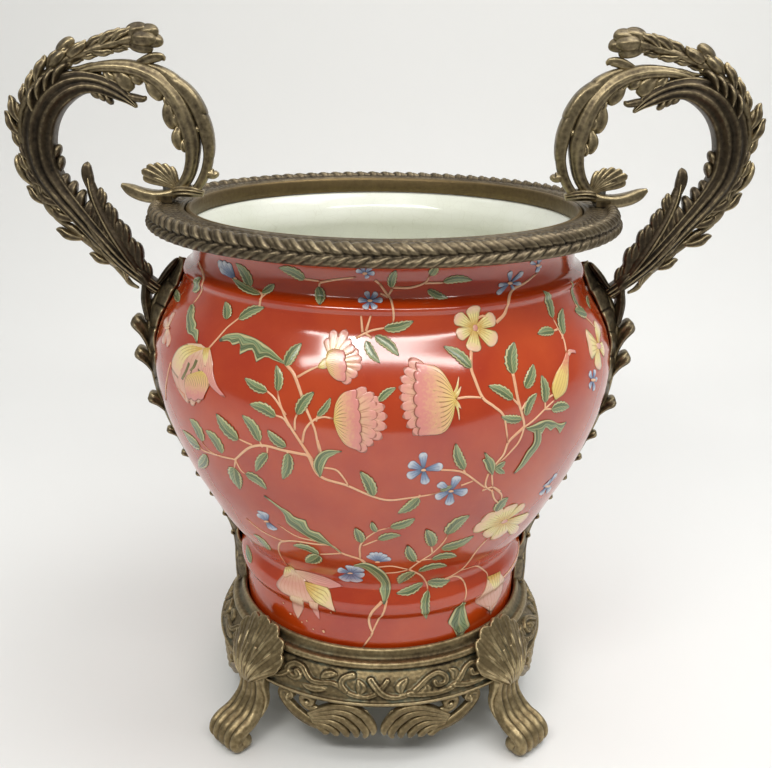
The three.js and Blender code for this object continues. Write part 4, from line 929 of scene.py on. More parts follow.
def lobe(name, points, wide, deep, flutes=1, tip=0.5, along=26):
    """A short closed leaf along the points, which reaches wide and deep to either side at its middle."""
    edge = through((0, wide * 0.4), (0.5, wide), (0.85, wide * 0.8), (1, tip))
    return frond(name, Course(points), edge, edge,
                 through((0, deep * 0.5), (0.5, deep), (0.85, deep * 0.75), (1, tip)),
                 flutes=flutes, groove=0.28, around=24, along=along)


def make_arm():
    """The right handle's arm: a fluted scroll, fullest at its bend, with leaves laid over it."""
    arm = frond("arm_scroll", ARM,
                through((0, 3.6), (0.1, 4.6), (0.3, 6.0), (0.5, 8.8), (0.62, 10.2), (0.75, 9.6), (0.85, 6.8),
                        (0.93, 5.0), (1, 1.0)),
                through((0, 3.6), (0.1, 4.4), (0.3, 5.6), (0.5, 8.4), (0.62, 9.8), (0.75, 9.0), (0.85, 6.2),
                        (0.93, 5.2), (1, 0.8)),
                through((0, 7), (0.25, 8), (0.5, 10.6), (0.72, 10.8), (0.86, 7), (0.94, 4.4), (1, 1)),
                flutes=3, groove=0.2, around=72, along=260, keel=0.5)
    parts = [arm]
    # A leaf laid over the outside of the bend: four fingers that curl towards the tip, each less deep than
    # the one before.
    for share in (0.69, 0.722, 0.752, 0.78):
        parts.append(lobe("bend_finger",
                          beside(ARM, share, (-2, -9), (4, -6.5), (8.6, -2), (11, 3.4), (10, 7.4)), 2.6,
                          12.2 - 12 * (share - 0.69), flutes=0))
    # Broader fingers along the outer edge below the bend.
    for share in (0.36, 0.42, 0.485, 0.55):
        parts.append(lobe("outer_finger", beside(ARM, share, (2, -9), (6.4, -4), (9.8, 1.6), (10.6, 7)), 2.8,
                          8.6, flutes=1))
    # Small teeth on the inner edge below the tip, and the tongue the tip divides into.
    for share in (0.865, 0.89, 0.915):
        parts.append(lobe("tooth", beside(ARM, share, (-3, -4), (-6.6, -1), (-8.4, 3.4)), 2.0, 4.2, flutes=0))
    for share in (0.50, 0.545):
        parts.append(lobe("inner_tooth", beside(ARM, share, (-7, -6), (-10, -1), (-12.4, 4)), 2.4, 4.6,
                          flutes=0))
    parts.append(lobe("tongue", [(163, 410), (156.4, 407.6), (150.4, 406.4), (147.4, 408)], 2.4, 3.4,
                      flutes=0))
    # The root, spread over the strap by leaves that hang down either side of the joint.
    parts.append(lobe("root_leaf", [(157.4, 300), (155.6, 290), (155.8, 280), (155, 270), (154.4, 262)], 3.2,
                      8.6, flutes=3, along=40))
    parts.append(lobe("root_leaf", [(151, 288), (146.6, 291.4), (142, 297), (137.4, 302.6), (133.6, 307)],
                      2.2, 8.0, flutes=2, along=36))
    parts.append(lobe("root_bud", [(150, 283), (153, 290), (158, 296), (163, 300)], 4.4, 9.0, flutes=3,
                      along=36))
    return joined("arm_cast_right", parts)


def make_arm_leaf():
    """The acanthus leaf on the arm's inner side, and the narrower one behind it."""
    mid = Course([(153, 289), (160, 299), (168.4, 311.4), (176.2, 324.4), (182.4, 338), (186, 351),
                  (187.6, 363)], side=-1)
    parts = [frond("arm_leaf_blade", mid,
                   through((0, 3), (0.3, 4), (0.7, 4), (0.9, 3), (1, 0.6)),
                   through((0, 2), (0.12, 3.6), (0.3, 5.0), (0.5, 5.0), (0.7, 4.2), (0.86, 3.4), (1, 0.8)),
                   through((0, 4), (0.3, 6), (0.7, 5), (1, 1.2)),
                   flutes=0, groove=0, around=40, along=120, keel=1.3)]
    # Fingers in groups of three make each lobe of the leaf's inner edge.
    for share, size in ((0.10, 0.8), (0.26, 1.1), (0.43, 1.1), (0.60, 0.95), (0.76, 0.75)):
        for step, long in ((-4.2, 0.7), (0, 1.22), (4.2, 1.02)):
            path = beside(mid, share, *[(a * size * long, (b + step) * size) for a, b in
                                        ((-2, -10), (2.6, -5), (6.0, 0.4), (7.6, 5.6))])
            parts.append(lobe("leaf_finger", path, 3.0 * size, 4.8 * size, flutes=1, tip=0.6, along=24))
    edge = through((0, 1.6), (0.5, 1.5), (1, 0.8))
    rib = frond("arm_leaf_rib", Course([(155, 291), (163, 303), (171, 315.4), (178.2, 328.4), (183.6, 341),
                                        (186.8, 352), (188, 362)], side=-1),
                edge, edge, through((0, 6), (0.4, 7.4), (0.8, 5.4), (1, 1.6)), flutes=0, groove=0,
                around=22, along=80)
    parts += [rib, lobe("arm_leaf_tip", [(186, 347), (187.4, 355), (188.4, 362), (187.4, 368)], 3.6, 3.8,
                        flutes=1)]
    second = Course([(168, 300), (177, 311), (184.6, 321.4), (190, 331), (193.4, 340)], side=-1)
    parts.append(frond("arm_leaf_behind", second,
                       through((0, 2), (0.5, 3), (1, 0.6)),
                       through((0, 2), (0.3, 4.4), (0.6, 5), (0.85, 4), (1, 1)),
                       through((0, 2), (0.4, 8.0), (0.8, 7.0), (1, 1.4)), flutes=2, groove=0.16, around=40,
                       along=90, keel=0.9))
    for share, size in ((0.52, 0.8), (0.66, 1.0), (0.8, 1.1), (0.93, 1.0)):
        path = beside(second, share,
                      *[(a * size, b * size) for a, b in ((0, -9), (4.4, -4.4), (7.6, 0.6), (8.4, 5.6))])
        parts.append(lobe("leaf_finger", path, 2.8 * size, 6.6, flutes=1, tip=0.5))
    for path in ([(203.4, 343), (203.8, 350), (202.6, 356.4), (200.4, 360.4)],
                 [(199, 338), (199.2, 346), (197.8, 352), (195.4, 356)],
                 [(194.6, 332), (194.4, 340), (192.8, 346.4), (190.2, 350.4)],
                 [(190, 327), (189.4, 334), (187.8, 340), (185.4, 344)]):
        parts.append(lobe("leaf_finger", path, 3.2, 7.0, flutes=1, tip=0.8))
    return joined("arm_leaf_cast_right", parts)


def make_hoop():
    """The leaf that comes down from the arm on to the collar, split in two, and its tail and fan."""
    inner = Course([(196, 418.6), (186, 423), (176, 425.4), (166, 425.8), (157, 425), (149, 422.8),
                    (141, 418.8), (134.4, 413), (128.8, 405.6), (124.8, 397), (121.8, 388), (120, 379),
                    (120.2, 370), (122.6, 361.6), (127, 354.8), (133.4, 350), (141, 347.6)], side=-1)
    strand = frond("hoop_leaf", inner,
                   through((0, 1.4), (0.15, 3.0), (0.3, 5.0), (0.5, 5.6), (0.68, 5.2), (0.78, 3.4),
                           (0.92, 3.2), (1, 1.4)),
                   through((0, 1.4), (0.12, 3.2), (0.35, 4.4), (0.5, 5.0), (0.65, 5.6), (0.78, 5.2),
                           (0.9, 3.8), (1, 1.2)),
                   through((0, 3), (0.2, 6.4), (0.5, 7.4), (0.8, 6.4), (1, 3)),
                   flutes=2, groove=0.1, around=60, along=220, keel=0.6)
    outer = Course([(154, 427.4), (142, 424.6), (131.4, 418.8), (122.4, 411.4), (116.4, 402.6), (112.6, 393),
                    (110.6, 383), (110.6, 373), (112.8, 363.6), (116.6, 355.6), (121, 349.8)], side=-1)
    second = frond("hoop_outer_leaf", outer,
                   through((0, 1), (0.2, 3.8), (0.5, 4.4), (0.75, 3.6), (1, 2.8)),
                   through((0, 1), (0.2, 4.6), (0.45, 5.0), (0.62, 4.6), (0.76, 3.2), (1, 2.8)),
                   through((0, 2), (0.3, 7.0), (0.7, 6.0), (1, 4.4)),
                   lobes=(4, 0), notch=(0.16, 0), slant=0.02, flutes=1, groove=0.12, around=48, along=150,
                   keel=0.6)
    tail = frond("hoop_tail", Course([(124, 350.4), (131, 350), (138, 348), (146, 347), (154, 348.2),
                                      (161, 350.8), (167.4, 354)], side=-1),
                 through((0, 2), (0.3, 4.2), (0.6, 4.8), (0.85, 4.2), (1, 1.2)),
                 through((0, 1.5), (0.3, 3.0), (0.6, 3.8), (0.85, 3.4), (1, 1.0)),
                 through((0, 5), (0.4, 7.6), (0.7, 6), (1, 1.6)), flutes=1, groove=0.14, around=44, along=90,
                 keel=0.7)
    boss = frond("hoop_boss", Course([(114.6, 348.6), (122, 350.4), (130, 350.4), (137, 348.4)], side=-1),
                 through((0, 2), (0.3, 3.8), (0.7, 3.6), (1, 2.0)),
                 through((0, 2), (0.3, 3.2), (0.7, 3.4), (1, 1.6)),
                 through((0, 4), (0.3, 9), (0.7, 9), (1, 4)), flutes=3, groove=0.24, around=40, along=50)
    parts = [strand, second, tail, boss]
    # The little fan of six lobes behind the hoop's foot.
    foot, edge = (131, 351.6), through((0, 1), (0.6, 2.9), (0.9, 2.6), (1, 0.9))
    for x, z in ((153.4, 358.6), (154, 362.8), (150.4, 366), (145.6, 367.2), (140.4, 367), (135.8, 365.4)):
        path = [foot, (0.5 * foot[0] + 0.5 * x, 0.5 * foot[1] + 0.5 * z + 0.6), (x, z)]
        parts.append(frond("fan_lobe", Course(path), edge, edge, through((0, 2), (0.6, 3.0), (1, 1.0)),
                           flutes=1, groove=0.3, around=22, along=28))
    # The ragged lobes of the leaf's inner edge, a large one and its small neighbours each time.
    for path, wide in (([(167, 424), (162, 418.6), (158, 414.8), (154.4, 413)], 5.2),
                       ([(173, 424), (169, 418.8), (165, 416.4)], 3.4),
                       ([(157, 423), (152.6, 418.2), (149, 416.2)], 3.4),
                       ([(147, 421), (143.4, 413.4), (139.8, 408.8), (136.8, 406.4)], 4.4),
                       ([(151, 422.6), (146.6, 418), (143.6, 414.6)], 2.6),
                       ([(140.6, 416.6), (136, 411), (132.6, 408.2)], 2.4),
                       ([(133, 408.6), (134.4, 399.4), (133, 392.6), (130, 388.4)], 4.2),
                       ([(130, 401), (129.8, 394.6), (127.4, 389.4)], 2.6),
                       ([(135.4, 411), (135, 405.4), (133, 401.6)], 2.2),
                       ([(127.2, 392), (130, 384.4), (129, 379), (126.6, 376)], 3.6),
                       ([(124.6, 384), (126.2, 378), (124.8, 374)], 2.0)):
        parts.append(lobe("hanging_lobe", path, wide, 5.4, flutes=1, tip=0.5, along=24))
    parts.append(lobe("hoop_bridge", [(124, 391.6), (118, 389), (111.6, 387.6)], 2.6, 4.6, flutes=0))
    parts.append(lobe("hoop_knob", [(156, 425.6), (148, 428.8), (141.4, 431), (136.8, 431), (135.4, 428.8)],
                      3.2, 5.0, flutes=1))
    parts.append(lobe("hoop_spur", [(115, 364.6), (111, 361.6), (107.6, 361), (106.4, 363.2)], 3.2, 4.6,
                      flutes=0))
    return joined("hoop_cast_right", parts)


def make_spray():
    """The spray along the handle's outer edge: a knotted stem with bracts, and buds at its end."""
    low = Course([(160, 286.4), (166, 290), (171, 297.6), (179, 306), (187.6, 314), (196, 321.6), (205, 329),
                  (212.6, 336.4), (217, 345), (221, 353.4), (223, 363), (225, 374), (227, 386), (226, 396.4),
                  (221.6, 405.4), (215.6, 413.6), (208, 420.6), (199, 427), (189, 431.6), (178, 435.4),
                  (166, 438.8), (154, 442), (144, 444)], side=1)
    stem = frond("spray_stem", low, through((0, 1), (0.1, 2.6), (0.5, 2.8), (1, 3.2)),
                 through((0, 1), (0.1, 2.4), (0.5, 2.8), (1, 3.2)),
                 through((0, 1.5), (0.2, 3), (0.6, 4), (1, 4.2)), lobes=(24, 24), notch=(0.2, 0.2),
                 slant=0.006, flutes=0, groove=0, around=24, along=280)
    parts = [stem]
    bract = frond("bract", Course([(0, 0), (3.2, 2.0), (7.0, 3.6), (10.6, 4.0), (13, 5.6)], side=1),
                  through((0, 0.8), (0.5, 2.2), (0.85, 1.5), (1, 0.4)),
                  through((0, 0.8), (0.5, 1.9), (0.85, 1.3), (1, 0.4)),
                  through((0, 1.6), (0.4, 4.6), (0.8, 3.4), (1, 0.6)), flutes=1, groove=0.3, around=20,
                  along=22)
    # Bracts on alternate sides: few along the arm's back, and close together towards the buds.
    shares = list(np.arange(0.48, 0.955, 0.019)) + [0.04, 0.1, 0.14, 0.2, 0.26, 0.33, 0.36, 0.42, 0.45]
    for i, share in enumerate(shares):
        side = (-1) ** i
        size = (1.2, 0.95)[i % 2] * (1 + 0.12 * math.sin(7 * i))
        out, up, n_out, n_up = (float(value) for value in low.at(share))
        along = Vector((-n_up, 0, n_out))
        away = Vector((n_out, 0, n_up)) * side
        matrix = Matrix((along * size, Vector((0, 1, 0)) * size, away * size)).transposed().to_4x4()
        matrix.translation = Vector((out, (1.6, -1.6, 0)[i % 3], up)) * MM
        one = copied(bract, matrix)
        if matrix.determinant() < 0:
            one.data.flip_normals()
        parts.append(one)
    bpy.data.objects.remove(bract)

    def folded(u, v):
        """A bud with five folds, drawn 2 mm across and scaled to each size below."""
        turn = 2 * np.pi * u
        girth = np.sin(np.pi * v) ** 0.8 * (1 - 0.22 * np.abs(np.sin(2.5 * turn)) ** 0.5)
        return np.cos(turn) * girth, np.sin(turn) * girth, -np.cos(np.pi * v) * (1 + 0.15 * v)

    bud = formed("bud", 24, 18, folded)
    # Where each bud is, half its width, half its height, and the angle that it points at, from level.
    for out, up, across, wide, tall, lean in (
            (228.4, 397, 0, 4.6, 6.6, 74), (224.4, 386, 0, 3.6, 6, 84), (221.6, 381, -3, 3.4, 5.6, 84),
            (195.6, 436.6, 0, 4.4, 6.6, 138), (188.4, 434.6, -3.4, 3.8, 6.4, 146),
            (200.4, 429.4, -3, 3.8, 6.2, 136), (170.4, 441.4, 0, 3.2, 5, 160), (211, 341.6, 0, 4.4, 6.4, 50),
            (214.4, 350.6, -2, 4, 6, 62), (183.6, 315.6, -2, 4.2, 6.8, 45), (176.6, 306.6, -2, 4.2, 7, 45),
            (151.6, 446.2, 0, 5.2, 6.6, 166), (145, 445.4, -0.6, 5.2, 6.4, 170),
            (142.4, 440.6, 0, 5.2, 6.2, 184), (149.4, 437.6, -1, 5.2, 7.0, 194),
            (147, 441.6, -4.2, 5.4, 7.0, 182), (147, 441.6, 4.2, 5.4, 7.0, 182)):
        turn = Matrix.Rotation(math.radians(90 - lean), 4, "Y")
        size = Matrix.Diagonal((wide, wide, tall, 1))
        parts.append(copied(bud, Matrix.Translation(Vector((out, across, up)) * MM) @ turn @ size))
    bpy.data.objects.remove(bud)
    parts.append(lobe("spray_leaf", [(196, 424), (188, 424.4), (180, 426.4), (174, 426.6)], 1.6, 3.2,
                      flutes=0))
    parts.append(lobe("spray_leaf", [(222, 352), (228, 358), (231.4, 366), (231.6, 372)], 2.2, 4, flutes=0))
    return joined("spray_cast_right", parts)


def place_handles():
    """Each casting on the right, and its mirror image on the left. The number beside it sets how light or
    dark the whole casting's bronze is."""
    for make, node, middle in ((make_strap, "strap", 0.58), (make_arm, "handle_arm", 0.47),
                               (make_arm_leaf, "arm_leaf", 0.46), (make_hoop, "handle_hoop", 0.61),
                               (make_spray, "handle_spray", 0.56)):
        right = rubbed(clothed(make(), handle_bronze), gain=0.8, middle=middle)
        left = mirrored(right, right.name.replace("right", "left"))
        stands_for(right, "handle_bronze", node + "_right")
        stands_for(left, "handle_bronze", node + "_left")


place_handles()


# ---------------------------------------------------------------- the painted flowers

# Places picked on the photograph, as x,y in its pixels, and carried on to the bowl by the camera that was
# fitted to it. A stem is a line. A leaf is root, tip and width. A petal is an enamel, its two edges from root
# to tip, and a count of ruffles on its far edge. A flower is an enamel, its middle, and the tip and width of
# every petal.
STEMS = [
    "199,262 204,280 202,291 192,305", "208.7,348.7 217.5,338.7 227.5,327.5 240,317.5 244,316",
    "252,309 260,305 262.5,295 253.7,288.7 245,281", "260,300 268,292",
    "286,364 293.7,373.7 300,390 303.7,402.5 310,417.5 315,430 317.5,442.5 320,455",
    "297.5,377 310,370 324,364", "312.5,460 302.5,445 292.5,430 286,418.7 280,402.5 277.5,390",
    "286,415 275,398.7 266,390", "290,427.5 283.7,418.7 275,415", "295,430 295,420 297.5,413.7",
    "302.5,442.5 305,430 312.5,421 322.5,417 334,418.7", "316,421 318,415",
    "320,476 309.4,457 300,453.7 282.5,450 267.5,446 257.5,445.5 247.5,448.7 236,458.7 232.5,458.7 217.5,455 "
    "208.7,450 201,440",
    "252.5,445 238.7,438.7", "262.5,447 260,441", "267.5,446 267.5,453", "286,451 288.7,453",
    "217.5,455 203,450 200,445", "235.5,460 241,470 246,474", "236,459 234.5,468",
    "309.4,457 320,476 346.9,485.3 368.8,494.7 387.5,500 409.4,497.8 432.8,494 441,491",
    "323.4,467.3 336,469.7 343,477 349,486", "317.5,440 321,452 323.4,467.3", "420,494.6 418,498.5",
    "441,469.7 456,470.5 465.6,473.6 479.7,483.8 487,489", "461,485.3 473.4,480.6", "465,473 463.4,469",
    "471,350 471,367.5 475,380 482.5,397.5 493,405.8 503,414.7 506,428.4 507.7,443",
    "457,398.6 467.5,397 482.5,397.5",
    "512.5,373 517.4,397.7 522.3,415.5 523.9,427 519,441 511,451 503,459 495.6,465", "519,405 512.6,398.5",
    "521,411 525.5,402", "522.5,428.4 535,418.7 544.8,409 555,399", "545,408 544.8,399", "545,409 551.3,409",
    "523.9,427 514,436 507.7,443 503,455 494,466 492,475 492.4,488", "488.4,473.5 486,480 486,487 494,492",
    "482,490.5 492,487 501,491.3", "491.6,489.7 494,498.5 498.9,503.4", "494.8,488 501.3,494.5 500.5,501",
    "566,352 563.7,340 557.5,327.5 552.5,318", "557.5,329 553,331", "562,339 562.7,332",
    "496,322.5 505,312.5 508.7,300 512.5,290 525,282.5 538,272", "478,318 484,316 496,322.5",
    "392.5,287.5 410,287.5 425,282.5 430,275", "425,283 444,282.5",
    "380,284 387.5,295 391,300 393.7,315 393,324", "375,280 381,285", "388,297 380,293", "392,289 388,296",
    "362.5,332.5 361,315", "366,331 371,315", "356,338 370,331 386,327.5", "365,333 372,338",
    "320,282.5 332.5,280 356,277", "303.7,278.7 320,281", "318.7,289 320,282.5",
    "207,365 210,378 216,388 225,397", "171,362.5 167,380 166,400",
    "366,563.6 360,559 342,553 331.4,545.5 316,544 296.5,541 286,541 280,543 279,551.5 287.4,566",
    "331.4,545.5 316,541 296.5,536 277.6,524", "286,541 277.6,538.6 260,529.5 246.5,518",
    "342,553 329.8,553.8 319.2,554", "360,558 361,544 375.3,531.8 390.5,527.3", "363,545.5 378.3,539.4",
    "382,601.5 372,612 369,619.7 370.8,628.8 372.3,633.3 363,647", "386.7,600 383,613.6 375.3,625.8 370,637",
    "377.8,567 391.9,566 404.4,568.4 409,569.2", "384,573 397,572 409,569.2",
    "409,569.2 418.4,562.2 432.5,552.8 443.4,541.9 448,534",
    "409,569.2 420,574.7 424.7,580 427,585 427.8,592", "427.8,581 443.4,579.4 460.6,570 476,551 490,535.6",
    "445,579.4 454.4,576 462,579.4 466,588.8 463.8,602", "460.6,570 474.7,566 485.6,571.6 487,580",
    "432.5,552.8 431,546", "420,562 415,560", "421,560 432,558.6", "518.4,540 517,556 501,579.4 476,598",
    "580,312 573,298 568,280", "580,312 588,320 595,328", "546,399 560,390", "360,559 366,564 374,569"]
LEAVES = [
    "202,278 193,291 10", "191,305 187,330 9", "227.5,319 226,302 11", "239,319 265,307 12",
    "262,293 275,284 10", "260,295 233,278 10", "251,287 236,263 12", "286,366 302,343 14",
    "278,391 276.5,365 11", "267.5,391 245,378 12", "276,416 250,404 13", "297.5,413.7 314,392 14",
    "317.5,416 331,397.5 9", "238.7,438.7 217,413.7 13", "260,441 242.5,415 12", "286,446 268,430 11",
    "267.5,453 256,471 12", "288.7,453 283,479 14", "202.5,441 190,418.7 11", "200,446 183,430 11",
    "222.5,453 206,430 10", "207,455 199,467 9", "234.5,467.5 240,489 12", "246,473.7 267,489 9",
    "373.4,495 360.6,471 14", "418.5,497.5 397.7,513 11", "470.5,367.5 443.7,346.5 13",
    "512.5,374 514,342 16", "512.6,399 488,385.6 13", "521.5,419 501,416.5 11", "525,388 533,364 13",
    "525.5,415.5 536.5,393 10", "545,402.5 541,375 11", "551.3,409 569,406.6 12", "552.5,318 542.4,291 9",
    "562.7,334 562,308.5 8", "553.7,331 537,334 12", "496.5,511 508,497 10", "495.6,467 504.5,473 8",
    "464,468.5 455.5,443.5 13", "495,468 505,461 7", "580,309 570,281 5", "586,314 574.5,311 9",
    "590,309 587,296 5", "427.5,290 448,298 10", "391,287.5 396,270 11", "430,275 436,266 10",
    "443,281.5 472,280 10", "384,328.5 413.5,321 13", "375,336 399,356 13", "366,341 380,363 11",
    "318.5,287 320,305 13", "305,279 279,267.5 12", "378.7,401 396,387.5 10", "319.2,553.8 293.5,545 8",
    "319.2,555 306,562 11", "268,549 254,534 11", "252,562 247,545 7", "390.3,527 415,518 10",
    "378.6,539.5 401,535 8", "361,541.7 355.5,527.5 11", "376,531 372,521.5 7", "427.8,590 426.3,619 11",
    "423,582.5 396,593.5 10", "413.8,571 399,583.5 10", "418.4,571 447,565.5 9", "427.8,581 450,580 9",
    "414.5,560.6 407.5,545 12", "432.5,545.5 426.3,529 15", "447,534 469.5,515 12", "441,548 473.5,535.5 10",
    "431.7,558.8 456.5,556 8", "440,490 452,485 5", "180,301 176,290 6"]
FLOWERS = [
    ("blue", "423.4,469.7", "423,452 9", "443,465.8 8.5", "425.5,484 10", "407,477 8.5", "408.5,463 9"),
    ("blue", "450.8,490.8", "458,475.5 8.5", "467,492.5 8.5", "449.2,505 9", "435,498 7.5", "438,483 8"),
    ("blue", "350.3,572.7", "337.5,569.5 8", "349.5,565 8", "361,567.5 8", "364.5,575.5 8", "357,582 9",
     "343.5,580.5 9"),
    ("blue", "509.5,283", "496.5,294.5 5", "498,285.5 4.5", "510,271 5.5", "523,272 5", "521,284 5",
     "514,290 4"),
    ("blue", "537.5,265", "530,262 4", "541,257 5", "541,267 4", "537.5,272 5"),
    ("blue", "370,301", "358,300 6", "366,291 6", "377,292 6", "383,300 6", "376,309 6", "364,309 6"),
    ("blue", "365,273", "356,270 5", "362,266 5", "371,267 5", "375,273 5", "368,278 5"),
    ("blue", "235.5,279", "218,262 8", "223,261 6", "228,262.5 6", "220,268 6"),
    ("blue", "267,521", "262,511 8", "274,530 8", "257,514 5"),
    ("blue", "377.6,561.4", "367.5,555 4.5", "371,552 4.5", "376,551.5 4.5", "381,552 4.5", "386,554 4.5",
     "391,558 4.5"),
    ("blue", "547,486", "540,495 7", "547,482 7", "557,473 6", "549,491 5"),
    ("blue", "592.5,380", "589,372 4", "595,370 4", "589,388 4", "594,390 4", "597,379 4"),
    ("gold", "474.8,328", "472.6,305.5 15", "495,317 16", "497,342 17", "473,352 16", "456.5,336 14",
     "454.5,316 15"),
    ("gold", "598,346", "597,323 9", "587,343 20", "598,370 11", "604,350 9"),
    ("gold", "504,521", "473,528.5 11", "483,517 11", "497,509 11", "512,504 11", "525,504 9", "526,518 10",
     "516,532 13", "499,537 14", "484,537 12"),
    ("haze", "168,328", "173,313 8", "163,343 9", "169,346 6", "165,320 6")]
RUFFLES = [
    # Rows of overlapping petals, the row furthest out first: an enamel, their root, and the tip and width
    # of each.
    ("ruffle", "338,419", "380,398 12", "385,406 12", "387.5,416 12", "387,427 12", "382.5,438 12"),
    ("ruffle", "336,419", "366,387.5 13", "374,393 12", "377,403 12", "378,414 12", "378,425 12",
     "376.5,436 12", "373,445 12", "366,452 12"),
    ("ruffle", "450,399", "409,358.5 15", "403.5,368 12", "400,377 12", "398.5,387 12", "399,397 12",
     "400.5,407 12", "402.5,417 12", "406.5,427 12", "413,435 12"),
    ("ruffle", "331,360", "327,338 9", "334,329.5 10", "340,336 10", "346.5,329.5 10", "351,339 10",
     "355,346 10"),
    ("ruffle", "333,363", "359,350 11", "362,358 11", "362,367 11", "357.5,376 11", "350,383.5 11")]
PETALS = [
    # The half-open peony at the left, its dark stamens, and its hanging petals.
    ("haze", "201,344 186,344 175,357 171,366 172.5,378 178,390 185,398",
     "208,349 212,362 212,378 211,386 207,393 203,398", 3),
    ("gold", "203,347 190,344 179,348 172.5,360 172,369", "204,350 197,354 188,361 184,371 180,380", 0),
    ("fan", "197,372 187,376 184.5,386 187,396.5", "203,371 209,377 210,386 206,397.5", 3),
    ("pink", "206,349 201,358 203,372 211,386 222,396", "211,350 213.5,362 214,374 218,386 226,396.5", 0),
    ("olive", "189,362 186,370 182,378", "191,364 188,372 184,380", 0),
    ("olive", "193,366 189,377 187,386", "195,368 191,379 189,388", 0),
    ("olive", "188,378 187,387 189,393", "190,378 190,386 192,392", 0),
    ("olive", "196,359 193,366 190,370", "199,361 196,368 192,371", 0),
    ("olive", "199,368 203,373 206,374", "199,371 203,376 206,375", 0),
    ("gold", "204,348 203,356 205,366", "211,348 210,357 207,367", 0),
    # The serrated leaf, and the other ragged leaves.
    ("leaf", "285.8,364.7 271,359 266.5,356.6 257,362 256,361.5 252,350 240,355 239.6,354 240.6,343.5 "
             "233,346 232.6,345 229,341 220,342",
     "284,361.5 271,348.5 256.8,338.9 240.6,333 227.7,334 219.7,338.9", 0),
    ("leaf", "191,309 187,316 187,326 188,333 193,336 197,343",
     "194,308 194,316 197,324 196,328 199,331 198,343", 0),
    ("leaf", "320,477 313.5,466 317,455 327,449.5 342,450.5",
     "322,474 325,465 328,459 330,457 334,455 337,453 342,451.5", 0),
    ("leaf", "525.5,427.5 533,424.5 541,420.5 550,419.5 558,423 566,421.5",
     "527,429.5 540,434.5 545,427 550,431 551,430 555,427 559,433 560,432 564,425", 0),
    ("leaf", "533,428 533,442 526,452 520,463 513,473", "541,431 540,443 531,456 522,467 514,473", 0),
    ("leaf", "491.6,474 486,469 484,463 482,460 482.6,459 485.5,459 484,452",
     "492.6,473 495,465 493,459 489,456 485,452.5", 0),
    ("leaf", "342,553 329.8,545.5 316.2,541.7 305.6,535.5 295,529 287,522.7 284,513.6 275,504.5 264,496",
     "340,550 331.4,544 320,532.6 319,532 310,529 306,520 305,519.5 295,516.7 289,511 281.4,507 265,495", 0),
    ("leaf", "354,564.4 364.7,562 375,565 386,573 391,585 389.7,594 385,604",
     "354,566 363,567.5 370.8,573 378.5,580.5 381,585 379,589.4 381.5,597 383,604", 0),
    ("leaf", "462,602 453,611 449,618 447,623 450,626 454,631 457,635",
     "465.5,602 466,612 468,620 470,626 466,629 463,633 458,635", 4),
    # The domes of the two peonies and of the pale blossom between them, over their rows of ruffles.
    ("fan", "334,417 336,403 343,392 356,386.5", "334,421 339,435 347,446 361,452.5", 6),
    ("fan", "455,397 449,382 437,366 416,359.5", "455,401 452,420 442,434 419,438", 7),
    ("fan", "326,361 327,353 334,348.5 344,349", "326,364 330,374 337,381 345,383.5", 3),
    ("gold", "451,395 455,388 458,376.5", "455,397 458,388 458.8,377", 0),
    ("gold", "453,396 457,391 460.5,386", "456,399 459,394 461,387", 0),
    ("gold", "451,402 456,408 458.6,420", "455,400 458.5,408 459.5,419.5", 0),
    ("gold", "453,401 456,406 461,408.5", "456,399 459,403 461,408", 0),
    ("gold", "318,366 323,359 328,357", "319,368.5 324,369 328,368", 0),
    ("leaf", "328,367 336,370 346,373", "328,369 336,373.5 345,375", 0),
    # The pod with its hooked neck.
    ("pod", "554,399 551,388 555,374 562,362 565.5,351", "555.5,399.5 565,392 568,378 568,364 569,352", 0),
    ("pink", "566,354 568,349.5 574,350", "569,356 571,353 575,353.5", 0),
    # The hanging flower near the foot, and the pale one at the right.
    ("haze", "288,568 281,577 276.5,585 282,592", "297,570 306,580 313,592 317,605", 0),
    ("pink", "294,569 308,571.5 324,576 343,585.6", "296,572 308,582 320,589 343,586.4", 0),
    ("haze", "290,594 293,606 298,618", "305,598 304,608 299,618", 0),
    ("pink", "309,600 313,610 319.5,619", "319,603 319.5,611 320.3,619", 0),
    ("gold", "305,581 322,585 330,590 336,611", "307,590 316,602 326,607 335,611", 0),
    ("gold", "285,567 284,571 283,577", "291,566 295,569 297,573", 2),
    ("haze", "487,577 484,590 474,603 489,609", "500,573 503,585 499,598 491,609", 3),
    ("gold", "486,577 489,583 492,590", "500,571 500,580 497,588", 4),
    ("stem", "283,602.3 284,603.4", "284.2,602 285,603", 0),
    ("stem", "290,613 291,614.4", "291.4,612.6 292.2,614", 0),
    ("stem", "301.2,621.6 302.2,622.8", "302.4,621 303.2,622.4", 0),
    ("stem", "306,620 307,621.4", "307.4,619.6 308.2,621", 0),
    ("stem", "312.6,628.4 313.6,629.6", "313.8,628 314.6,629.2", 0),
    ("stem", "322,630 323.6,632.6", "324.4,629.4 325.6,632", 0),
    ("stem", "330,611.6 331.2,612.8", "331.4,611.2 332.2,612.4", 0)]

# The camera that was fitted to the photograph: its place, and its focal length and middle in pixels.
PHOTO_EYE = np.array([0, -657.5, 444.5])
PHOTO_FOCUS, PHOTO_MIDDLE = 1025.4, (382.3, 384.0)
PHOTO_TILT, PHOTO_ROLL = math.radians(18.72), math.radians(0.6)
PIXEL = 0.63                         # a pixel's size at the bowl
NEAREST, FURTHEST = 450, 760         # where the camera's rays are searched for the bowl
PAINT_LOW, PAINT_HIGH = 68, 333      # the heights between which the bowl can be painted
ENAMEL_RISE, ENAMEL_DEEP = 0.10, 0.3     # how far a stroke's edge stands over the glaze, and its thickness

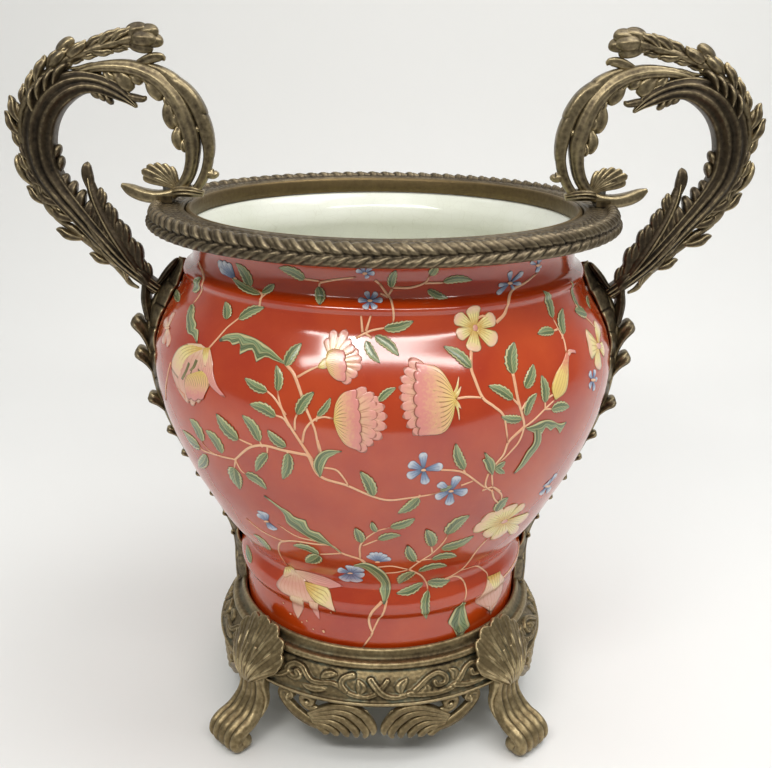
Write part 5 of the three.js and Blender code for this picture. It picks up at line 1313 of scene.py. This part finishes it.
enamels = {
    "leaf": painted("green_enamel_leaves", "#828F62", "#85976F", "#9CA880", "#2E3424", veins=0.55,
                    half_dark=0.5),
    "stem": painted("cream_enamel_stems", "#E6AC84", "#EDBE96", "#E8B28A", "#9C4526", pen=0.05),
    "pink": painted("pink_enamel_petals", "#E8BE9E", "#E0A092", "#DB948C", "#A0503E", streaks=0.35, lines=6),
    "gold": painted("yellow_enamel_petals", "#D8B060", "#EBDB98", "#E8BFA2", "#8F6330", streaks=0.5, lines=5,
                    reach=0.7),
    "blue": painted("blue_enamel_petals", "#5E6E8C", "#8FA0BC", "#CFD2D8", "#46506C", streaks=0.5, lines=3,
                    reach=0.8),
    "haze": painted("thin_pink_enamel_petals", "#EBD3AE", "#E0AE9C", "#E6BEA4", "#C98A70", streaks=0.35,
                    lines=9, haze=0.15, pen=0.015),
    "fan": painted("yellow_to_pink_enamel_peony", "#E6C972", "#E5BE88", "#DA8F86", "#7E4A2A", streaks=0.75,
                   lines=14, reach=0.7, pen=0.012),
    "ruffle": painted("pink_tipped_enamel_ruffles", "#E6C972", "#E6BC96", "#DE9C8E", "#9C5E48", streaks=0.5,
                      lines=2, reach=0.85, pen=0.035),
    "pod": painted("yellow_to_pink_enamel_pod", "#E2C670", "#E8CC7E", "#D98672", "#A5602E", streaks=0.35,
                   lines=6, pen=0.03),
    "olive": painted("olive_enamel_stamens", "#6E6A45", "#7C744C", "#8C8258", "#4A4630"),
}


def picked(text):
    """The numbers of a row of places, as (x, y) pairs."""
    return [tuple(float(value) for value in word.split(",")) for word in text.split() if "," in word]


def on_bowl(place):
    """The (azimuth, height) where the photograph's ray through a pixel meets the bowl, or passes nearest."""
    x, y = place[0] - PHOTO_MIDDLE[0], place[1] - PHOTO_MIDDLE[1]
    across = x * math.cos(PHOTO_ROLL) + y * math.sin(PHOTO_ROLL)
    down = y * math.cos(PHOTO_ROLL) - x * math.sin(PHOTO_ROLL)
    ahead = np.array([0, math.cos(PHOTO_TILT), -math.sin(PHOTO_TILT)])
    up = np.array([0, math.sin(PHOTO_TILT), math.cos(PHOTO_TILT)])
    ray = ahead * PHOTO_FOCUS + np.array([across, 0, 0]) - up * down
    steps = np.linspace(NEAREST, FURTHEST, 1600)[:, None]
    spots = PHOTO_EYE + ray / np.linalg.norm(ray) * steps
    gap = np.hypot(spots[:, 0], spots[:, 1]) - bowl_radius(spots[:, 2])
    gap = np.where((spots[:, 2] > PAINT_LOW) & (spots[:, 2] < PAINT_HIGH), gap, np.inf)
    hit = np.argmax(gap < 0) if (gap < 0).any() else np.argmin(gap)
    return math.degrees(math.atan2(spots[hit, 0], -spots[hit, 1])), spots[hit, 2]


def bowl_share(height):
    return np.interp(height, BOWL_OUTSIDE.points[:, 1], BOWL_OUTSIDE.share)


def flattened(middle, places):
    """Places on the bowl as (x, y) millimetres about one of them, as if the glaze were rolled out flat."""
    radius = bowl_radius(middle[1])
    start = bowl_share(middle[1])
    return [(math.radians(a - middle[0]) * radius, (bowl_share(h) - start) * BOWL_OUTSIDE.length)
            for a, h in places]


def on_glaze(middle, x, y, lift):
    """The point that lies lift above the glaze at a flattened (x, y) about the middle."""
    out, up, n_out, n_up = BOWL_OUTSIDE.at(bowl_share(middle[1]) + y / BOWL_OUTSIDE.length)
    turn = math.radians(middle[0]) + x / bowl_radius(middle[1])
    reach = out + lift * n_out
    return reach * np.sin(turn), -reach * np.cos(turn), up + lift * n_up


def stroke(places, half, enamel, level=0.0, across=6, along=14, teeth=0, bite=0.0, swell=0.28):
    """One brush stroke along places on the bowl: a thin domed patch, whose back lies just under the glaze.
    level lifts it over its neighbours, swell is its dome, and teeth cut its edges by bite."""
    middle = places[len(places) // 2]
    course = Course(flattened(middle, places))

    def place(u, v):
        side = 2 * u - 1
        x, y, n_x, n_y = course.at(v)
        reach = side * half(v) * (1 - bite * (1 - (v * teeth) % 1.0))
        lift = ENAMEL_RISE + level + swell * (1 - side ** 2)
        return on_glaze(middle, x + n_x * reach, y + n_y * reach, lift)

    return clothed(formed("stroke", across, along, place), enamels[enamel])


def wide_on_bowl(root, tip, width):
    """The real width of a shape whose width was picked across its middle in the photograph, held within
    reason where the bowl turns away."""
    long = math.dist(root, tip)
    lean = ((tip[1] - root[1]) / long * width / 2, (root[0] - tip[0]) / long * width / 2)
    middle = ((root[0] + tip[0]) / 2, (root[1] + tip[1]) / 2)
    ends = [on_bowl((middle[0] + lean[0] * s, middle[1] + lean[1] * s)) for s in (-1, 1)]
    return min(math.dist(*flattened(on_bowl(middle), ends)), 1.8 * width * PIXEL)


def leaf_half(width):
    """Half a leaf's width along its length: broadest before its middle, and pointed."""
    return lambda v: width * 1.22 * np.clip(v, 0, 1) ** 0.55 * np.clip(1 - v, 0, 1) ** 0.8 + 0.05


def petal_half(width):
    """Half a petal's width along its length: narrow at its root, with a round end."""
    return lambda v: width * 0.5 * (0.30 + 0.70 * np.clip(v * 1.35, 0, 1) ** 0.9) * np.sqrt(
        np.clip(1 - np.clip((v - 0.72) / 0.285, 0, 1) ** 2, 0.003, 1))


def petal(enamel, one, other, ruffles, level):
    """A petal or ragged leaf between its two edges; its far edge is cut into soft ruffles."""
    edges = [[on_bowl(place) for place in picked(edge)] for edge in (one, other)]
    middle = edges[0][len(edges[0]) // 2]
    first, second = (Course(flattened(middle, edge)) for edge in edges)
    bulge, scallop = 0.16, 0.09

    def place(u, v):
        ends = (first.at(v)[:2], second.at(v)[:2])
        x, y = (a + (b - a) * u for a, b in zip(*ends))
        if ruffles:
            grown = bulge * 4 * u * (1 - u) - scallop * (1 - np.abs(np.sin(math.pi * ruffles * u)) ** 0.7)
            root = [0.5 * (first.points[0, k] + second.points[0, k]) for k in (0, 1)]
            x, y = (root[k] + (value - root[k]) * (1 + grown * v ** 2) for k, value in enumerate((x, y)))
        return on_glaze(middle, x, y, ENAMEL_RISE + level + 0.3 * (4 * u * (1 - u)) ** 0.5)

    return clothed(formed("petal", max(8, 5 * ruffles), 22 if enamel == "leaf" else 14, place),
                   enamels[enamel])


def petals_round(enamel, centre, tips, level, step, swell=0.28):
    """Petals from one middle, each to its own tip; every second one lies a step above its neighbours."""
    middle = picked(centre)[0]
    parts = []
    for i, text in enumerate(tips):
        tip, width = picked(text)[0], float(text.split()[1])
        path = [on_bowl((middle[0] + (tip[0] - middle[0]) * share, middle[1] + (tip[1] - middle[1]) * share))
                for share in (0.1, 0.55, 1)]
        parts.append(stroke(path, petal_half(wide_on_bowl(middle, tip, width)), enamel,
                            level=level + step * (i % 2), swell=swell))
    return parts


def open_flower(enamel, centre, *tips):
    """Petals round a small round heart."""
    middle = picked(centre)[0]
    parts = petals_round(enamel, centre, tips, 0.05, 0.04)
    heart = [on_bowl((middle[0] + step, middle[1])) for step in (-2.6, 0, 2.6)]
    # A yellow flower has a broad pink heart, any other a small cream one.
    size, colour = (2.0, "pink") if enamel == "gold" else (1.0, "stem")
    parts.append(stroke(heart, lambda v: size * np.sqrt(np.clip(4 * v * (1 - v), 0.01, 1)), colour,
                        level=0.3, along=8))
    return parts


def paint_flowers():
    """The painting on the bowl's front, and the same again half round, on its back."""
    parts = []
    for text in STEMS:
        places = [on_bowl(place) for place in picked(text)]
        flat = flattened(places[0], places)
        length = sum(math.dist(a, b) for a, b in zip(flat, flat[1:]))
        # A branch longer than 40 mm is painted with a fuller brush than a twig.
        half = through((0, 1.15), (0.5, 0.85), (1, 0.6)) if length > 40 else through((0, 0.8), (1, 0.55))
        parts.append(stroke(places, half, "stem", across=4, along=max(8, int(length / 1.6))))
    for number, text in enumerate(LEAVES):
        root, tip = picked(text)
        width = wide_on_bowl(root, tip, float(text.split()[2]))
        # Leaves bow to alternate sides.
        bow = 0.07 * (-1) ** number
        middle = ((root[0] + tip[0]) / 2 - bow * (tip[1] - root[1]),
                  (root[1] + tip[1]) / 2 + bow * (tip[0] - root[0]))
        parts.append(stroke([on_bowl(place) for place in (root, middle, tip)], leaf_half(width * 0.95),
                            "leaf", level=0.14, along=32, teeth=6, bite=0.22))
    for number, (enamel, one, other, ruffles) in enumerate(PETALS):
        # Neighbours lie at different levels, so that none cuts through another, and the domes lie over all.
        over = 0.24 if enamel == "fan" else 0.0
        parts.append(petal(enamel, one, other, ruffles, 0.12 + 0.06 * (number % 5) + over))
    for number, (enamel, centre, *tips) in enumerate(RUFFLES):
        parts += petals_round(enamel, centre, tips, 0.13 * (number % 2), 0.05, swell=0.12)
    for flower in FLOWERS:
        parts += open_flower(*flower)
    front = modified(joined("painted_flowers_front", parts), "SOLIDIFY", thickness=ENAMEL_DEEP * MM,
                     offset=-1)
    back = turned_to(copied(front), 180)
    back.name = back.data.name = "painted_flowers_back"
    for side in (front, back):
        stands_for(side, "porcelain")


paint_flowers()


# ---------------------------------------------------------------- the solids that stay: beddings and fixings

for node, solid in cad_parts.items():
    if "bedding" in node:
        clothed(solid, felt)
    elif "pin" in node:
        clothed(solid, pin_brass)
    elif "screw" in node or "bolt" in node:
        clothed(solid, screw_steel)
    elif "lug" in node:
        clothed(solid, lug_bronze)


# ---------------------------------------------------------------- floor, camera and lamps

SWEEP_WIDE = 5000
LENS, SENSOR, SHIFT = 47.82, 36, 0.0048     # the fitted camera in Blender's own terms


def make_stage():
    """A white sweep: a table that ends in front of the camera, a long soft bend, and a wall."""
    bend = [(-700, 0), (-300, 0), (100, 0), (200, 0.6), (300, 6), (400, 22), (500, 56), (590, 110),
            (660, 180), (712, 270), (744, 380), (760, 520), (764, 700), (765, 1000), (765, 1700)]
    flat = Course(bend).points[::2]
    clear_selection()
    bpy.ops.mesh.primitive_grid_add(x_subdivisions=2, y_subdivisions=len(flat) - 1, size=1)
    sweep = bpy.context.object
    grid = points_of(sweep) * MM + 0.5
    row = np.round(grid[:, 1] * (len(flat) - 1)).astype(int)
    set_points(sweep, np.stack([(grid[:, 0] - 0.5) * SWEEP_WIDE, flat[row, 0], flat[row, 1]], axis=1))
    bpy.ops.object.shade_smooth()
    sweep.name = "studio_sweep"
    material, tree = new_material("matt_white_paper")
    place = add(tree, "TexCoord")["Object"]
    soft = add(tree, "TexNoise", {"Vector": place, "Scale": 2.0, "Detail": 1.0})["Fac"]
    tone = add(tree, "ValToRGB", {"Fac": soft}, [(0.3, "#E5E5E3"), (0.7, "#E8E8E6")])["Color"]
    finished(tree, {"Base Color": tone, "Roughness": 0.8})
    clothed(sweep, material)


def lamp(name, at, target, size, power, colour="#FFFFFF"):
    """A soft box at a place, aimed at another; its power is in watts."""
    bpy.ops.object.light_add(type="AREA", location=Vector(at) * MM)
    light = bpy.context.object
    light.name = name
    light.data.shape = "RECTANGLE"
    light.data.size, light.data.size_y = size[0] * MM, size[1] * MM
    light.data.energy = power
    light.data.color = linear(colour)[:3]
    light.rotation_euler = (Vector(target) - Vector(at)).to_track_quat("-Z", "Y").to_euler()


def make_view():
    """The room's light, the lamps, and the camera that was fitted to the photograph."""
    world = bpy.context.scene.world or bpy.data.worlds.new("room")
    bpy.context.scene.world = world
    world.use_nodes = True
    tree = world.node_tree
    tree.nodes.clear()
    way = add(tree, "TexCoord")["Generated"]
    height = add(tree, "SeparateXYZ", {0: way})[2]
    height = add(tree, "MapRange", {"Value": height, "From Min": -1.0, "From Max": 1.0})[0]
    # A dim room round the table, under a wide pale ceiling.
    room = add(tree, "ValToRGB", {"Fac": height}, [
        (0.0, "#82827F"), (0.81, "#929290"), (0.9, "#F6F7F8"), (1.0, "#FFFFFF")])["Color"]
    light = add(tree, "Background", {"Color": room, "Strength": 1.0})[0]
    add(tree, "OutputWorld", {"Surface": light})

    lamp("window", (-300, -700, 960), (0, 0, 270), (300, 100), 1.6, "#FFFDF8")
    lamp("front_strip", (0, -820, 1010), (0, 0, 240), (1500, 100), 6.0, "#FFFEFA")
    lamp("ceiling_right", (520, -100, 1300), (0, 0, 150), (700, 700), 6.6)
    lamp("wall_wash", (0, 250, 1350), (0, 765, 700), (1500, 200), 2.0)

    camera = bpy.data.objects.new("camera", bpy.data.cameras.new("camera"))
    bpy.context.collection.objects.link(camera)
    camera.data.sensor_width, camera.data.lens, camera.data.shift_x = SENSOR, LENS, SHIFT
    turn = Matrix.Rotation(math.pi / 2 - PHOTO_TILT, 4, "X") @ Matrix.Rotation(PHOTO_ROLL, 4, "Z")
    camera.matrix_world = Matrix.Translation(Vector(PHOTO_EYE) * MM) @ turn
    bpy.context.scene.camera = camera
    bpy.context.scene.view_settings.view_transform = "Standard"


make_stage()
make_view()
